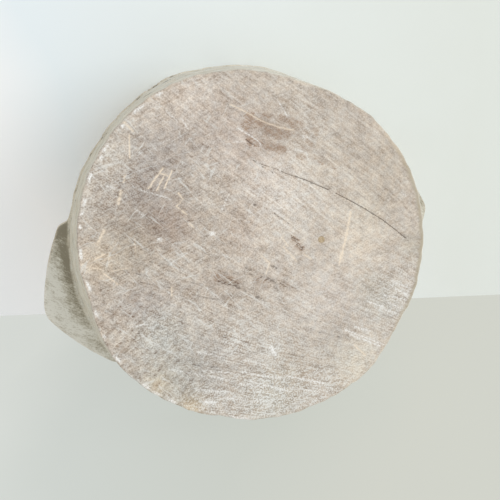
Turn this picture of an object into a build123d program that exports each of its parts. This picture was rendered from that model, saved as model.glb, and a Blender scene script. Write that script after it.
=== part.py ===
"""Round wooden butter mold, carved by hand.

A lugged wall ring stands on a full-width round base board and is held to it by hidden loose tenons.
A loose print board with a compass-drawn rosette lies in the tapered cavity: it shapes the top
of the pat and lifts out with the butter.

Frame: millimetres.  The mold stands on Z = 0, the cavity opens towards +Z, the origin is the
centre of the round base face, and X runs from the large lug (-X) to the small lug (+X).
"""

from build123d import *

import os
from math import hypot, radians, sqrt, tan

os.makedirs("parts", exist_ok=True)

# --- The body ---------------------------------------------------------------------------------
mold_height = 95.0  # base face to rim
base_radius = 147.0  # the flat round face that the mold stands on
rim_radius = 153.5  # the rim band, in one with the lugs
band_step = 1.3  # the wall below is hewn back by this much under the rim band
wall_belly = 0.8  # how far the wall bows outwards past a straight flare
board_thickness = 24.0  # base board, its edge in line with the wall
foot_break = 2.5  # arris taken off the board's lower edge

# --- The cavity -------------------------------------------------------------------------------
rim_wall = 17.0  # width of the rim
cavity_draft = 5.5  # degrees; the cavity widens upwards so that the butter slips out
rim_break = 3.0  # arris taken off the rim's outer edge and the lugs' upper edges
lug_break = 2.0  # the same under the lugs, and along the rim's inner edge

# --- The scored line round the wall -----------------------------------------------------------
score_height = 60.0  # above the base face
score_width = 2.4
score_depth = 1.2

# --- The two lugs, cut from the same block as the wall ring -----------------------------------
lug_thickness = 18.0  # of the lugs and the rim band, from the rim downwards
lug_swing = 5.9  # degrees; both lugs sit off the straight line, towards +Y
large_lug_reach = 34.5  # rim band to where the flanks would meet in a sharp point
large_lug_proud = 7.3  # rim band to the corners of the shoulders
large_lug_half = 69.5  # half the width across the shoulders
small_lug_reach = 29.0
small_lug_proud = 3.6
small_lug_half = 58.0
lug_bow = 4.0  # how far each flank bows outwards
lug_tip_round = 24.0
shoulder_round = 6.0
shoulder_run = 24.0  # the shoulder line runs back into the wall ...
shoulder_flare = 8.0  # ... and spreads by this much on the way
lug_root_round = 6.0  # hollow between a lug's shoulder and the rim band

# --- Loose tenons, hidden in mortises chopped into the board and the wall ring -----------------
tenon_count = 8
tenon_width = 26.0  # along the wall
tenon_thickness = 8.0  # across the wall
tenon_in_board = 15.0
tenon_in_wall = 27.0
tenon_fit = 0.1  # glue gap all round
tenon_end_gap = 1.0  # air below and above a tenon in its mortises
tenon_chamfer = 1.0

# --- Small plug of paler wood that stops an old hole in the board -----------------------------
plug_radius = 2.8
plug_fit = 0.05
plug_from_axis = 57.1
plug_azimuth = 8.2
plug_short = 1.0  # the plug ends this far below the board's upper face

# --- The loose print board --------------------------------------------------------------------
print_thickness = 14.0
print_gap = 1.2  # all round, so that the board lifts out freely
print_edge_break = 1.0
petal_count = 6
petal_reach = 72.0  # centre to the petals' outer tips
petal_start = 8.5  # centre to their inner tips
petal_depth = 4.5  # in the middle of the valley, which rises to both tips
petal_width = 23.0
leaf_reach = 68.0  # the small leaves between the petals
leaf_start = 34.0
leaf_depth = 2.6
leaf_width = 12.0
boss_radius = 5.0  # dimple in the middle of the rosette
boss_depth = 2.0
flute_count = 36
flute_depth = 3.0
flute_width = 12.0
flute_length = 26.0
flute_run_out = 9.0  # the stroke rises to the surface over this length at both ends
flute_rim = 7.0  # plain margin outside the flutes
ring_width = 3.0  # the two scored rings that frame the rosette
ring_depth = 1.6
ring_margin = 6.0  # from the petals' tips to the inner ring, and from it to the next
cut_overrun = 1.0  # the cutting shapes stand this far above the surface that they cut

# --- Worked out from the sizes above ----------------------------------------------------------
lug_underside = mold_height - lug_thickness
print_top = board_thickness + print_thickness
lugs = [
    (180.0 - lug_swing, large_lug_reach, large_lug_proud, large_lug_half),
    (lug_swing, small_lug_reach, small_lug_proud, small_lug_half),
]


def wall_face(z):
    """Outside radius of the wall at height z, below the rim band: a flare and a slight belly."""
    share = z / lug_underside
    flare = rim_radius - band_step - base_radius
    return base_radius + flare * share + 4 * wall_belly * share * (1 - share)


def cavity_radius(z):
    """Radius of the tapered cavity at height z."""
    return rim_radius - rim_wall - (mold_height - z) * tan(radians(cavity_draft))


tenon_circle = (wall_face(board_thickness) + cavity_radius(board_thickness)) / 2
print_radius = cavity_radius(print_top) - print_gap
blank_height = mold_height - lug_thickness / 2  # the wall runs up into the middle of the rim band
rings = [petal_reach + ring_margin, petal_reach + 2 * ring_margin]
flute_outer = print_radius - flute_rim
flute_circle = flute_outer - flute_length / 2


def lug_plan(reach, proud, half_width):
    """Plan of one lug along +X: two bowed flanks meet in a blunt tip, above two shoulders."""
    point = rim_radius + reach
    corner = (sqrt((rim_radius + proud) ** 2 - half_width**2), half_width)
    back = (corner[0] - shoulder_run, half_width + shoulder_flare)
    with BuildSketch() as plan:
        with BuildLine():
            Line((back[0], -back[1]), (corner[0], -corner[1]))
            SagittaArc((corner[0], -corner[1]), (point, 0), -lug_bow)
            SagittaArc((point, 0), corner, -lug_bow)
            Line(corner, back)
            Line(back, (back[0], -back[1]))
        make_face()
        fillet(plan.vertices().sort_by(Axis.X)[-1], lug_tip_round)
        for side in (-1, 1):
            fillet(plan.vertices().sort_by_distance((corner[0], side * corner[1]))[0], shoulder_round)
    return plan.sketch


def petal_chip(inner, outer, width, depth):
    """Chip cut out for a petal between two radii along +X, its upper face level with Z = 0.

    Each side is a cone that stands under a compass arc, and the two cones meet in the valley.
    """
    half_length = (outer - inner) / 2
    compass = (half_length**2 + (width / 2) ** 2) / width
    spread = width / 2 / depth
    top = compass + cut_overrun * spread
    bottom = compass - (depth + cut_overrun) * spread
    with BuildPart() as chip:
        for side, mode in ((-1, Mode.ADD), (1, Mode.INTERSECT)):
            with Locations(((inner + outer) / 2, side * (compass - width / 2), -depth / 2)):
                Cone(bottom, top, depth + 2 * cut_overrun, mode=mode)
    return chip.part


def flute_chip():
    """Chip cut out for one flute along +X: a vee that runs out at both ends."""
    rise = cut_overrun / flute_depth
    top_length = flute_length / 2 + rise * flute_run_out
    top_width = flute_width / 2 * (1 + rise)
    with BuildPart() as chip:
        with BuildSketch(Plane.XZ):
            Polygon(
                (-top_length, cut_overrun),
                (-flute_length / 2 + flute_run_out, -flute_depth),
                (flute_length / 2 - flute_run_out, -flute_depth),
                (top_length, cut_overrun),
                align=None,
            )
        extrude(amount=flute_width, both=True)
        with BuildSketch(Plane.YZ):
            Polygon((-top_width, cut_overrun), (0, -flute_depth), (top_width, cut_overrun), align=None)
        extrude(amount=flute_length, both=True, mode=Mode.INTERSECT)
    return chip.part


# --- Blank: board and wall in one, turned round the Z axis ----------------------------------------
with BuildPart() as blank:
    with BuildSketch(Plane.XZ) as blank_profile:
        with BuildLine():
            Line((0, 0), (base_radius, 0))
            ThreePointArc(
                (base_radius, 0),
                (wall_face(blank_height / 2), blank_height / 2),
                (wall_face(blank_height), blank_height),
            )
            Polyline((wall_face(blank_height), blank_height), (0, blank_height), (0, 0))
        make_face()
        chamfer(blank_profile.vertices().sort_by_distance((base_radius, 0))[0], foot_break)
    revolve(axis=Axis.Z)

# --- Case: the wall ring, its rim band and the two lugs --------------------------------------------
with BuildPart() as case:
    # rim band and lugs in one plan, their arrises taken off above and below
    with BuildSketch(Plane.XY.offset(lug_underside)) as lug_sketch:
        Circle(rim_radius)
        for azimuth, reach, proud, half_width in lugs:
            add(lug_plan(reach, proud, half_width), rotation=azimuth)
        roots = [v for v in lug_sketch.vertices() if abs(hypot(v.X, v.Y) - rim_radius) < 0.01]
        fillet(roots, lug_root_round)
    extrude(amount=lug_thickness)
    chamfer(case.edges().group_by(Axis.Z)[-1], rim_break)
    chamfer(case.edges().group_by(Axis.Z)[0], lug_break)
    add(blank.part)
    split(bisect_by=Plane.XY.offset(board_thickness), keep=Keep.TOP)
    # the tapered cavity
    with BuildSketch(Plane.XZ):
        with BuildLine():
            Polyline(
                (0, board_thickness),
                (cavity_radius(board_thickness), board_thickness),
                (cavity_radius(mold_height), mold_height),
                (0, mold_height),
                close=True,
            )
        make_face()
    revolve(axis=Axis.Z, mode=Mode.SUBTRACT)
    # the scored line round the outside
    with BuildSketch(Plane.XZ):
        with BuildLine():
            score_bottom = wall_face(score_height) - score_depth
            score_open = wall_face(score_height) + score_depth
            Polyline(
                (score_bottom, score_height),
                (score_open, score_height - score_width),
                (score_open, score_height + score_width),
                close=True,
            )
        make_face()
    revolve(axis=Axis.Z, mode=Mode.SUBTRACT)
    # mortises, chopped upwards into the wall
    with BuildSketch(Plane.XY.offset(board_thickness)):
        with PolarLocations(tenon_circle, tenon_count):
            Rectangle(tenon_thickness + 2 * tenon_fit, tenon_width + 2 * tenon_fit)
    extrude(amount=tenon_in_wall + tenon_end_gap, mode=Mode.SUBTRACT)
    # worn inner edge of the rim
    chamfer(case.faces().filter_by(Axis.Z).sort_by(Axis.Z)[-1].inner_wires()[0].edges(), lug_break)
case.part.label = "case"
export_step(case.part, "parts/case.step")

# --- Base board: the round foot of the mold ---------------------------------------------------
with BuildPart() as base_board:
    add(blank.part)
    split(bisect_by=Plane.XY.offset(board_thickness), keep=Keep.BOTTOM)
    # mortises, chopped down into the board
    with BuildSketch(Plane.XY.offset(board_thickness)):
        with PolarLocations(tenon_circle, tenon_count):
            Rectangle(tenon_thickness + 2 * tenon_fit, tenon_width + 2 * tenon_fit)
    extrude(amount=-(tenon_in_board + tenon_end_gap), mode=Mode.SUBTRACT)
    with Locations(Plane.XY.offset(board_thickness)):
        with PolarLocations(plug_from_axis, 1, plug_azimuth):
            Hole(plug_radius + plug_fit)
base_board.part.label = "base_board"
export_step(base_board.part, "parts/base_board.step")

# --- Tenons: one group of loose keys, hidden in the board and the wall ----------------------------
with BuildPart() as tenons:
    with BuildSketch(Plane.XY.offset(board_thickness - tenon_in_board)):
        with PolarLocations(tenon_circle, tenon_count):
            Rectangle(tenon_thickness, tenon_width)
    extrude(amount=tenon_in_board + tenon_in_wall)
    chamfer(tenons.edges().group_by(Axis.Z)[0] + tenons.edges().group_by(Axis.Z)[-1], tenon_chamfer)
tenons.part.label = "tenons"
export_step(tenons.part, "parts/tenons.step")

# --- Plug: stops an old hole, flush with the round face ---------------------------------------
with BuildPart() as hole_plug:
    with BuildSketch():
        with PolarLocations(plug_from_axis, 1, plug_azimuth):
            Circle(plug_radius)
    extrude(amount=board_thickness - plug_short)
hole_plug.part.label = "hole_plug"
export_step(hole_plug.part, "parts/hole_plug.step")

# --- Print board: lies loose on the base board, its carving shapes the pat --------------------
with BuildPart() as print_board:
    with BuildSketch(Plane.XZ):
        with BuildLine():
            Polyline(
                (0, board_thickness),
                (cavity_radius(board_thickness) - print_gap, board_thickness),
                (print_radius, print_top),
                (0, print_top),
                close=True,
            )
        make_face()
    revolve(axis=Axis.Z)
    chamfer(print_board.faces().filter_by(Axis.Z).edges(), print_edge_break)
    # two scored rings frame the rosette, and the flutes stand outside them
    with BuildSketch(Plane.XZ):
        for ring in rings:
            with BuildLine():
                Polyline(
                    (ring, print_top - ring_depth),
                    (ring + ring_width, print_top + ring_depth),
                    (ring - ring_width, print_top + ring_depth),
                    close=True,
                )
            make_face()
    revolve(axis=Axis.Z, mode=Mode.SUBTRACT)
    # compass-drawn rosette: chip-carved petals with the smaller leaves between them
    petal = petal_chip(petal_start, petal_reach, petal_width, petal_depth)
    leaf = petal_chip(leaf_start, leaf_reach, leaf_width, leaf_depth)
    with Locations((0, 0, print_top)):
        with PolarLocations(0, petal_count):
            add(petal, mode=Mode.SUBTRACT)
        with PolarLocations(0, petal_count, 180 / petal_count):
            add(leaf, mode=Mode.SUBTRACT)
        # the border of flutes
        with PolarLocations(flute_circle, flute_count):
            add(flute_chip(), mode=Mode.SUBTRACT)
    # dimple in the middle, where the compass stood
    with Locations((0, 0, print_top - boss_depth / 2)):
        Cone(0.0, boss_radius, boss_depth, mode=Mode.SUBTRACT)
print_board.part.label = "print_board"
export_step(print_board.part, "parts/print_board.step")
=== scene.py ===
# %% [markdown]
# # A carved wooden butter mold
#
# The mold is a hand tool: a round base board, a wall ring with two lugs that was hewn from one
# block, and a loose print board with a rosette in the cavity. The packed model gives their true
# places and sizes. This lesson lays worn, weathered wood over it: meshes that are as uneven as
# handwork, and finishes with fibres, scratches, stains and chalky wear.

from math import atan2, cos, degrees, hypot, pi, radians, sin

import bmesh
import bpy
import numpy as np
from mathutils import Matrix, Vector, noise


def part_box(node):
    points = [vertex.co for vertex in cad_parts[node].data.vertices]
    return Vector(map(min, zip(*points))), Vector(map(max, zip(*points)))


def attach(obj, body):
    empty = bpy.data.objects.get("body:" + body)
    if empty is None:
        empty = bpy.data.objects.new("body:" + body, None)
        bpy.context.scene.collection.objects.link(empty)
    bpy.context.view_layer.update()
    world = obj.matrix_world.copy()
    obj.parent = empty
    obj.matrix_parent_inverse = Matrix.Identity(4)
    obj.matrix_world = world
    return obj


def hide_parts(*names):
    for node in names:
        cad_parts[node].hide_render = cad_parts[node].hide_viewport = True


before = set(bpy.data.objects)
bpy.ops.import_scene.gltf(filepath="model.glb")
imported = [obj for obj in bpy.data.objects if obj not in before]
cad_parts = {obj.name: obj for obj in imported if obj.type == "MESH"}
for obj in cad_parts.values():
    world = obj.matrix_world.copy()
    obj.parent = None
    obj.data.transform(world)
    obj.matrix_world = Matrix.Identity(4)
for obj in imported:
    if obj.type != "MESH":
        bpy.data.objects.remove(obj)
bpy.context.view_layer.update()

# %% [markdown]
# ## Sizes
#
# Heights and radii come from the boxes of the packed nodes wherever a box tells them. What a box
# can't tell, such as the width of the rim, is named here once, in metres.

# %% Heights and radii of the mold
MM = 0.001
BOARD_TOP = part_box("base_board")[1].z
PRINT_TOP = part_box("print_board")[1].z
PRINT_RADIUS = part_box("print_board")[1].y
RIM_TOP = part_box("case")[1].z
RIM_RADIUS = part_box("case")[1].y
BASE_RADIUS = 147 * MM
RIM_WALL = 17 * MM
LUG_THICKNESS = 18 * MM
LUG_UNDERSIDE = RIM_TOP - LUG_THICKNESS
CAVITY_DRAFT = radians(5.5)
print("rim radius", RIM_RADIUS, "rim top", RIM_TOP, "print radius", PRINT_RADIUS)

# %% [markdown]
# ## Directions in the leaning pose
#
# The mold is shown leaning against a wall, with its round base in view. Marks on that face are
# easiest to give as one sees them: so many millimetres right of the middle and so many above it.
# The model itself stands upright in its own frame, so one small function turns such a spot into
# a point of the model. Nothing is moved: the camera goes round to the face instead.

# %% Spots on the round face, as seen in the leaning pose
LEAN_TURN = radians(14.4)  # how far the lugs' line is turned from level
RIGHT = Vector((cos(LEAN_TURN), sin(LEAN_TURN), 0))
UP = Vector((sin(LEAN_TURN), -cos(LEAN_TURN), 0))
OUT = Vector((0, 0, -1))


def spot(right, up, out=0.0):
    """The point of the model that lies this many millimetres right, up and out of the face."""
    return (RIGHT * right + UP * up + OUT * out) * MM


def seen_from_front(co):
    """Millimetres right and up of the face's middle, for an array of the model's points."""
    return co @ np.array(RIGHT) / MM, co @ np.array(UP) / MM


def around(co):
    """The angle of each point as seen on the leaning face, from the right towards the top."""
    right, up = seen_from_front(co)
    return np.arctan2(up, right)


print("the face's top is at", tuple(round(c, 4) for c in spot(0, 147)))

# %% [markdown]
# ## Camera
#
# The camera stands above the middle of the face and a little to its left, about as far away as
# three widths of the mold. Its lens is long, so that the round face stays nearly round.

# %% The camera
EYE = spot(-159.3, 99.5, 813.5)
AIM = spot(-4.5, -1.3)
LENS_MM = 72.2

back = (EYE - AIM).normalized()
camera_x = UP.cross(back).normalized()
camera_y = back.cross(camera_x)
camera_data = bpy.data.cameras.new("camera")
camera_data.lens = LENS_MM
camera_data.sensor_width = 36
camera_data.clip_start = 0.01
camera = bpy.data.objects.new("camera", camera_data)
turn = Matrix((camera_x, camera_y, back)).transposed().to_4x4()
camera.matrix_world = Matrix.Translation(EYE) @ turn
bpy.context.scene.collection.objects.link(camera)
bpy.context.scene.camera = camera
print("camera stands", round((EYE - AIM).length, 3), "m away")

# %% [markdown]
# ## Shader maths that reads like a formula
#
# A Math node for every plus and times makes long code. `Tap` wraps an output socket, and its
# operators add the nodes, so that `0.5 + (fibre - 0.5) * 2` can be written as it is meant.
# Everything that isn't maths on numbers comes from `Finish.node`, which sets a node's settings
# first and then feeds its sockets.

# %% Colours as a screen shows them
def paint(red, green, blue):
    """A colour given in steps of 0 to 255 on a screen, as the light that it stands for."""
    light = []
    for step in (red, green, blue):
        share = step / 255
        light.append(share / 12.92 if share <= 0.04045 else ((share + 0.055) / 1.055) ** 2.4)
    return (*light, 1.0)


print("mean wood colour as light:", tuple(round(c, 3) for c in paint(197, 188, 176)))


# %% A socket that can be calculated with
class Tap:
    """An output socket. Each operator on it adds a Math node."""

    def __init__(self, finish, socket):
        self.finish = finish
        self.socket = socket

    def math(self, operation, first, second=0.0):
        return self.finish.node("ShaderNodeMath", {"operation": operation}, {0: first, 1: second})

    def __add__(self, other):
        return self.math("ADD", self, other)

    def __sub__(self, other):
        return self.math("SUBTRACT", self, other)

    def __mul__(self, other):
        return self.math("MULTIPLY", self, other)

    def __rsub__(self, other):
        return self.math("SUBTRACT", other, self)

    __radd__ = __add__
    __rmul__ = __mul__


print("a tap knows", len([name for name in vars(Tap) if name.startswith("__r")]), "reflected operators")


# %% A finish: one material and the few nodes it is made of
class Finish:
    """A material under construction, with one Principled shader."""

    def __init__(self, name):
        self.material = bpy.data.materials.new(name)
        self.material.use_nodes = True
        self.tree = self.material.node_tree
        self.shader = self.tree.nodes["Principled BSDF"]

    def feed(self, socket, value):
        if isinstance(value, Tap):
            self.tree.links.new(value.socket, socket)
        else:
            socket.default_value = value

    def node(self, kind, settings, inputs, output=0):
        made = self.tree.nodes.new(kind)
        for name, value in settings.items():
            setattr(made, name, value)
        for socket, value in inputs.items():
            self.feed(made.inputs[socket], value)
        return Tap(self, made.outputs[output])

    def place(self):
        """Object coordinates, in metres."""
        return self.node("ShaderNodeTexCoord", {}, {}, "Object")

    def reach(self, vector, way):
        """How far a vector goes along a direction."""
        settings = {"operation": "DOT_PRODUCT"}
        return self.node("ShaderNodeVectorMath", settings, {0: vector, 1: way}, "Value")

    def turned(self, vector, angle):
        """The vector turned about Z."""
        return self.node("ShaderNodeMapping", {}, {"Vector": vector, "Rotation": (0, 0, angle)})

    def noise(self, vector, sizes, detail, roughness=0.5):
        """Noise with lumps of one size, or of three along X, Y and Z, in millimetres."""
        scale = tuple(1 / (float(size) * MM) for size in np.broadcast_to(sizes, 3))
        cells = self.node("ShaderNodeVectorMath", {"operation": "MULTIPLY"}, {0: vector, 1: scale})
        inputs = {"Vector": cells, "Scale": 1.0, "Detail": detail, "Roughness": roughness}
        return self.node("ShaderNodeTexNoise", {}, inputs, "Fac")

    def step(self, value, low, high):
        """0 below low, 1 above high, and smooth between."""
        settings = {"interpolation_type": "SMOOTHSTEP"}
        return self.node("ShaderNodeMapRange", settings, {0: value, 1: low, 2: high})

    def mix(self, share, first, second, blend="MIX"):
        """Two colours, mixed by a share."""
        settings = {"data_type": "RGBA", "blend_type": blend}
        return self.node("ShaderNodeMix", settings, {0: share, 6: first, 7: second}, 2)

    def attribute(self, name, output="Fac"):
        settings = {"attribute_type": "GEOMETRY", "attribute_name": name}
        return self.node("ShaderNodeAttribute", settings, {}, output)

    def channels(self, name):
        """The three numbers that a painted colour attribute holds."""
        colour = self.attribute(name, "Color")
        parts = self.node("ShaderNodeSeparateColor", {}, {0: colour}).socket.node
        return [Tap(self, socket) for socket in parts.outputs]

    def ramp(self, value, *stops):
        """A colour ramp from stops: a place, and red, green and blue in screen steps."""
        made = self.node("ShaderNodeValToRGB", {}, {0: value})
        elements = made.socket.node.color_ramp.elements
        while len(elements) < len(stops):
            elements.new(0.5)
        for element, (position, *steps) in zip(elements, stops):
            element.position = position
            element.color = paint(*steps)
        return made

    def surface(self, colour, roughness, specular=0.5):
        """Feeds the shader what every finish gives it."""
        self.feed(self.shader.inputs["Base Color"], colour)
        self.feed(self.shader.inputs["Roughness"], roughness)
        self.feed(self.shader.inputs["Specular IOR Level"], specular)

    def bump(self, height, depth_mm):
        """Lets a height shade the surface as if it were this deep."""
        inputs = {"Height": height, "Distance": depth_mm * MM}
        self.feed(self.shader.inputs["Normal"], self.node("ShaderNodeBump", {}, inputs))


print("a finish can make:", [name for name in vars(Finish) if not name.startswith("_")])

# %% [markdown]
# ## Floor and wall
#
# The mold stands on its rim's edge and leans its other edge on the wall, so the floor is laid
# under its lowest point and the wall behind its farthest one. Both are plain and pale. Seen
# from behind they are clear, so that they never hide the mold, and they stop no light on its
# way to the cavity.

# %% Where level and plumb lie in the leaning pose
CAMERA_LIFT = radians(34.4)  # the camera looks down by this much
WALL_YAW = radians(4.0)  # the wall recedes to the right

plumb = camera_y * cos(CAMERA_LIFT) + back * sin(CAMERA_LIFT)
towards = (back - plumb * back.dot(plumb)).normalized()
off_wall = (towards * cos(WALL_YAW) + camera_x * sin(WALL_YAW)).normalized()
along_wall = plumb.cross(off_wall)
corners = [v.co for name in ("case", "base_board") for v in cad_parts[name].data.vertices]
floor_level = min(plumb.dot(co) for co in corners)
wall_level = min(off_wall.dot(co) for co in corners)
print("lean of the face:", round(degrees(plumb.angle(UP)), 1), "degrees")


# %% Lay the two planes
def backdrop(name, across, down_to, facing, size):
    """A square sheet that starts at the corner line and faces one way."""
    bm = bmesh.new()
    bmesh.ops.create_grid(bm, x_segments=1, y_segments=1, size=size)
    corner_line = plumb * floor_level + off_wall * wall_level
    turn = Matrix((across, down_to, facing)).transposed().to_4x4()
    bm.transform(Matrix.Translation(corner_line + down_to * size) @ turn)
    mesh = bpy.data.meshes.new(name)
    bm.to_mesh(mesh)
    bm.free()
    sheet = bpy.data.objects.new(name, mesh)
    bpy.context.scene.collection.objects.link(sheet)
    sheet.visible_shadow = False
    sheet.visible_diffuse = False
    return sheet


STAGE_HALF = 2.0
floor_sheet = backdrop("floor", off_wall.cross(plumb), off_wall, plumb, STAGE_HALF)
wall_sheet = backdrop("wall", along_wall, plumb, off_wall, STAGE_HALF)


def plaster(name, rise, glow, tones):
    """Pale plaster with painted light: its tone steps along a line towards the left. It glows for the
    camera and is clear from behind.
    """
    finish = Finish(name)
    place = finish.place()
    side = finish.reach(place, camera_y * rise - camera_x)
    cloud = finish.noise(place, 200, 3.0)
    colour = finish.ramp(side * 2.0 + cloud * 0.3 + 0.35, *tones)
    finish.surface(finish.mix(glow, colour, (0, 0, 0, 1)), 0.9, specular=0.0)
    seen, mirrored, through = [finish.node("ShaderNodeLightPath", {}, {}, f"Is {ray} Ray")
                               for ray in ("Camera", "Glossy", "Transmission")]
    seen = seen.math("MAXIMUM", seen, seen.math("MAXIMUM", mirrored, through))
    finish.feed(finish.shader.inputs["Emission Color"], colour)
    finish.feed(finish.shader.inputs["Emission Strength"], seen * glow)
    clear = finish.node("ShaderNodeBsdfTransparent", {}, {})
    behind = finish.node("ShaderNodeNewGeometry", {}, {}, "Backfacing")
    solid = Tap(finish, finish.shader.outputs[0])
    shown = finish.node("ShaderNodeMixShader", {}, {0: behind, 1: solid, 2: clear})
    finish.feed(finish.tree.nodes["Material Output"].inputs["Surface"], shown)
    return finish.material


# painted light: the floor's tone is lightest far off to the left, the wall's lightest towards the lower
# left
FLOOR_TONES = [(0.05, 211, 213, 204), (0.3, 206, 210, 203), (0.62, 209, 214, 209), (0.8, 218, 222, 217)]
WALL_TONES = [(0.02, 228, 233, 227), (0.44, 240, 247, 247), (0.76, 239, 248, 251), (0.9, 251, 254, 254)]
floor_sheet.data.materials.append(plaster("floor_plaster", 0.6, 0.8, FLOOR_TONES))
wall_sheet.data.materials.append(plaster("wall_plaster", -0.35, 0.1, WALL_TONES))
print("floor and wall meet below the mold")

# %% [markdown]
# ## Light
#
# Soft daylight from everywhere, a large soft lamp high on the right that gives the faces their
# shape and throws the gentle shadow on the wall, and a lamp behind the wall that lights the
# cavity of the mold and nothing else.

# %% The world and two lamps
WORLD_LEVEL = 0.76
world = bpy.data.worlds.new("daylight")
bpy.context.scene.world = world
world.use_nodes = True
world_nodes = world.node_tree.nodes
daylight = world_nodes["Background"]
daylight.inputs["Color"].default_value = (1, 1, 1, 1)
daylight.inputs["Strength"].default_value = WORLD_LEVEL
paper = world_nodes.new("ShaderNodeBackground")
paper.inputs["Color"].default_value = paint(226, 231, 229)
rays = world_nodes.new("ShaderNodeLightPath")
either = world_nodes.new("ShaderNodeMixShader")
seen = rays.outputs["Is Camera Ray"]
for kind in ("Is Glossy Ray", "Is Transmission Ray"):
    larger = world_nodes.new("ShaderNodeMath")
    larger.operation = "MAXIMUM"
    world.node_tree.links.new(seen, larger.inputs[0])
    world.node_tree.links.new(rays.outputs[kind], larger.inputs[1])
    seen = larger.outputs[0]
world.node_tree.links.new(seen, either.inputs[0])
world.node_tree.links.new(daylight.outputs[0], either.inputs[1])
world.node_tree.links.new(paper.outputs[0], either.inputs[2])
world.node_tree.links.new(either.outputs[0], world_nodes["World Output"].inputs[0])


def soft_lamp(name, place, aim, size, watts):
    """A square area lamp that looks at a point."""
    data = bpy.data.lights.new(name, "AREA")
    data.size = size
    data.energy = watts
    lamp = bpy.data.objects.new(name, data)
    lamp.location = place
    lamp.rotation_euler = (aim - place).to_track_quat("-Z", "Y").to_euler()
    bpy.context.scene.collection.objects.link(lamp)
    return lamp


middle = Vector((0, 0, RIM_TOP / 2))
KEY_AWAY = 3.2
key_place = middle + (camera_x * 0.8 + plumb * 0.55 + towards * 0.55).normalized() * KEY_AWAY
soft_lamp("key_lamp", key_place, middle, size=2.0, watts=39)
cavity_place = middle + Vector((0.5, 0.7, 1.2))
cavity_lamp = soft_lamp("cavity_lamp", cavity_place, middle, size=0.7, watts=14)
lit = bpy.data.collections.new("lit_by_cavity_lamp")
cavity_lamp.light_linking.receiver_collection = lit
bpy.context.scene.view_settings.view_transform = "Standard"
print("key lamp stands", round((key_place - middle).length, 2), "m from the mold")

# %% [markdown]
# ## The uneven outline
#
# Nobody carves a true circle. The round face is full at the right and the upper left, and
# flattened in two places where the tool bit deeper. The rim above it is rounder. Both outlines
# are kept as the few spots where they bend, and a smooth curve runs through these.

# %% The outline of the round face and of the rim
BASE_SPOTS = [
    # angle on the face in degrees, and radius in millimetres
    (-10, 147.0), (0, 147.8), (12, 148.8), (24, 149.6), (38, 148.6), (50, 147.2), (60, 144.8),
    (69, 143.2), (78, 143.3), (90, 146.0), (100, 147.6), (112, 150.0), (130, 151.0), (145, 150.5),
    (160, 149.0), (172, 146.8), (185, 144.9), (196, 142.7), (204, 144.2), (212, 146.8),
    (220, 148.0), (240, 147.0), (252, 146.3), (259, 145.2), (268, 146.8), (283, 146.9),
    (300, 147.3), (311, 148.1), (322, 145.6), (332, 143.7), (340, 146.0),
]
RIM_SPOTS = [
    (-60, 153.5), (-20, 153.5), (20, 153.5), (50, 153.0), (72, 153.3), (85, 155.4), (103, 155.2),
    (111, 156.9), (123, 155.1), (139, 152.8), (160, 152.5), (175, 152.8), (195, 152.0),
    (206, 152.4), (216, 154.4), (240, 154.4), (270, 153.5),
]
WALL_BELLY = 0.8 * MM
BAND_STEP = 1.2 * MM


def smooth_curve(spots, angle):
    """A smooth closed curve through spots of angle and radius, in metres."""
    angles = np.array([radians(a) for a, _ in spots])
    radii = np.array([r for _, r in spots])
    turns = np.concatenate([angles - 2 * pi, angles, angles + 2 * pi])
    radii = np.tile(radii, 3)
    slopes = np.gradient(radii, turns)
    angle = (angle - angles[0]) % (2 * pi) + angles[0]
    i = np.searchsorted(turns, angle, side="right") - 1
    gap = turns[i + 1] - turns[i]
    t = (angle - turns[i]) / gap
    rise = (2 * t**3 - 3 * t**2 + 1) * radii[i] + (3 * t**2 - 2 * t**3) * radii[i + 1]
    return (rise + (t**3 - 2 * t**2 + t) * gap * slopes[i] + (t**3 - t**2) * gap * slopes[i + 1]) * MM


def base_edge(angle):
    """Radius of the base's outline at an angle on the leaning face."""
    ripple = 0.22 * np.sin(23 * angle + 1.3) + 0.2 * np.sin(47 * angle) + 0.16 * np.sin(83 * angle + 2)
    return smooth_curve(BASE_SPOTS, angle) + ripple * MM


def rim_round(angle):
    """Radius of the rim's outline, lugs left out."""
    ripple = 0.25 * np.sin(19 * angle) + 0.2 * np.sin(44 * angle + 1)
    return smooth_curve(RIM_SPOTS, angle) + ripple * MM


def wall_radius(angle, height):
    """Radius of the hewn wall at an angle and a height above the base."""
    share = height / LUG_UNDERSIDE
    top = rim_round(angle) - BAND_STEP
    return base_edge(angle) * (1 - share) + top * share + 4 * WALL_BELLY * share * (1 - share)


all_round = np.linspace(-pi, pi, 721)
print("base from", round(base_edge(all_round).min(), 4), "to", round(base_edge(all_round).max(), 4))

# %% [markdown]
# ## Helpers for whole arrays
#
# Thousands of vertices are pushed and painted at once, so the helpers take arrays. A soft step
# replaces every hard limit, and lumps of noise give the unevenness of hand work.

# %% Smooth helpers for arrays
def soft(value, low, high):
    """0 below low, 1 above high, smooth between; it also runs downwards when low > high."""
    share = np.clip((value - low) / (high - low), 0, 1)
    return share * share * (3 - 2 * share)


def lumps(co, size, seed=0.0):
    """Smooth random heights of about -1 to 1, one for each point, with lumps of this size."""
    shift = Vector((seed * 7.3, seed * 3.1, seed * 5.7))
    return np.array([noise.noise(Vector(point) / size + shift) for point in co])


def off_line(angle, direction):
    """How far angles lie off a direction given in degrees, from minus to plus half a turn."""
    return (angle - radians(direction) + pi) % (2 * pi) - pi


print("soft steps pass", soft(0.5, 0, 1), "halfway")

# %% [markdown]
# ## Grain
#
# On the face the fibres fall to the right, steeply above and almost level below. How steeply
# depends only on the height, so one table of slopes is enough. Going up by a little moves the
# place where a fibre crosses by that little over its slope, and the sum of these moves tells
# fibres apart: it is the coordinate across the grain. With the depth as the third coordinate,
# the fibres run through the wood as real ones do, and come out at the edge where they must.

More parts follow.
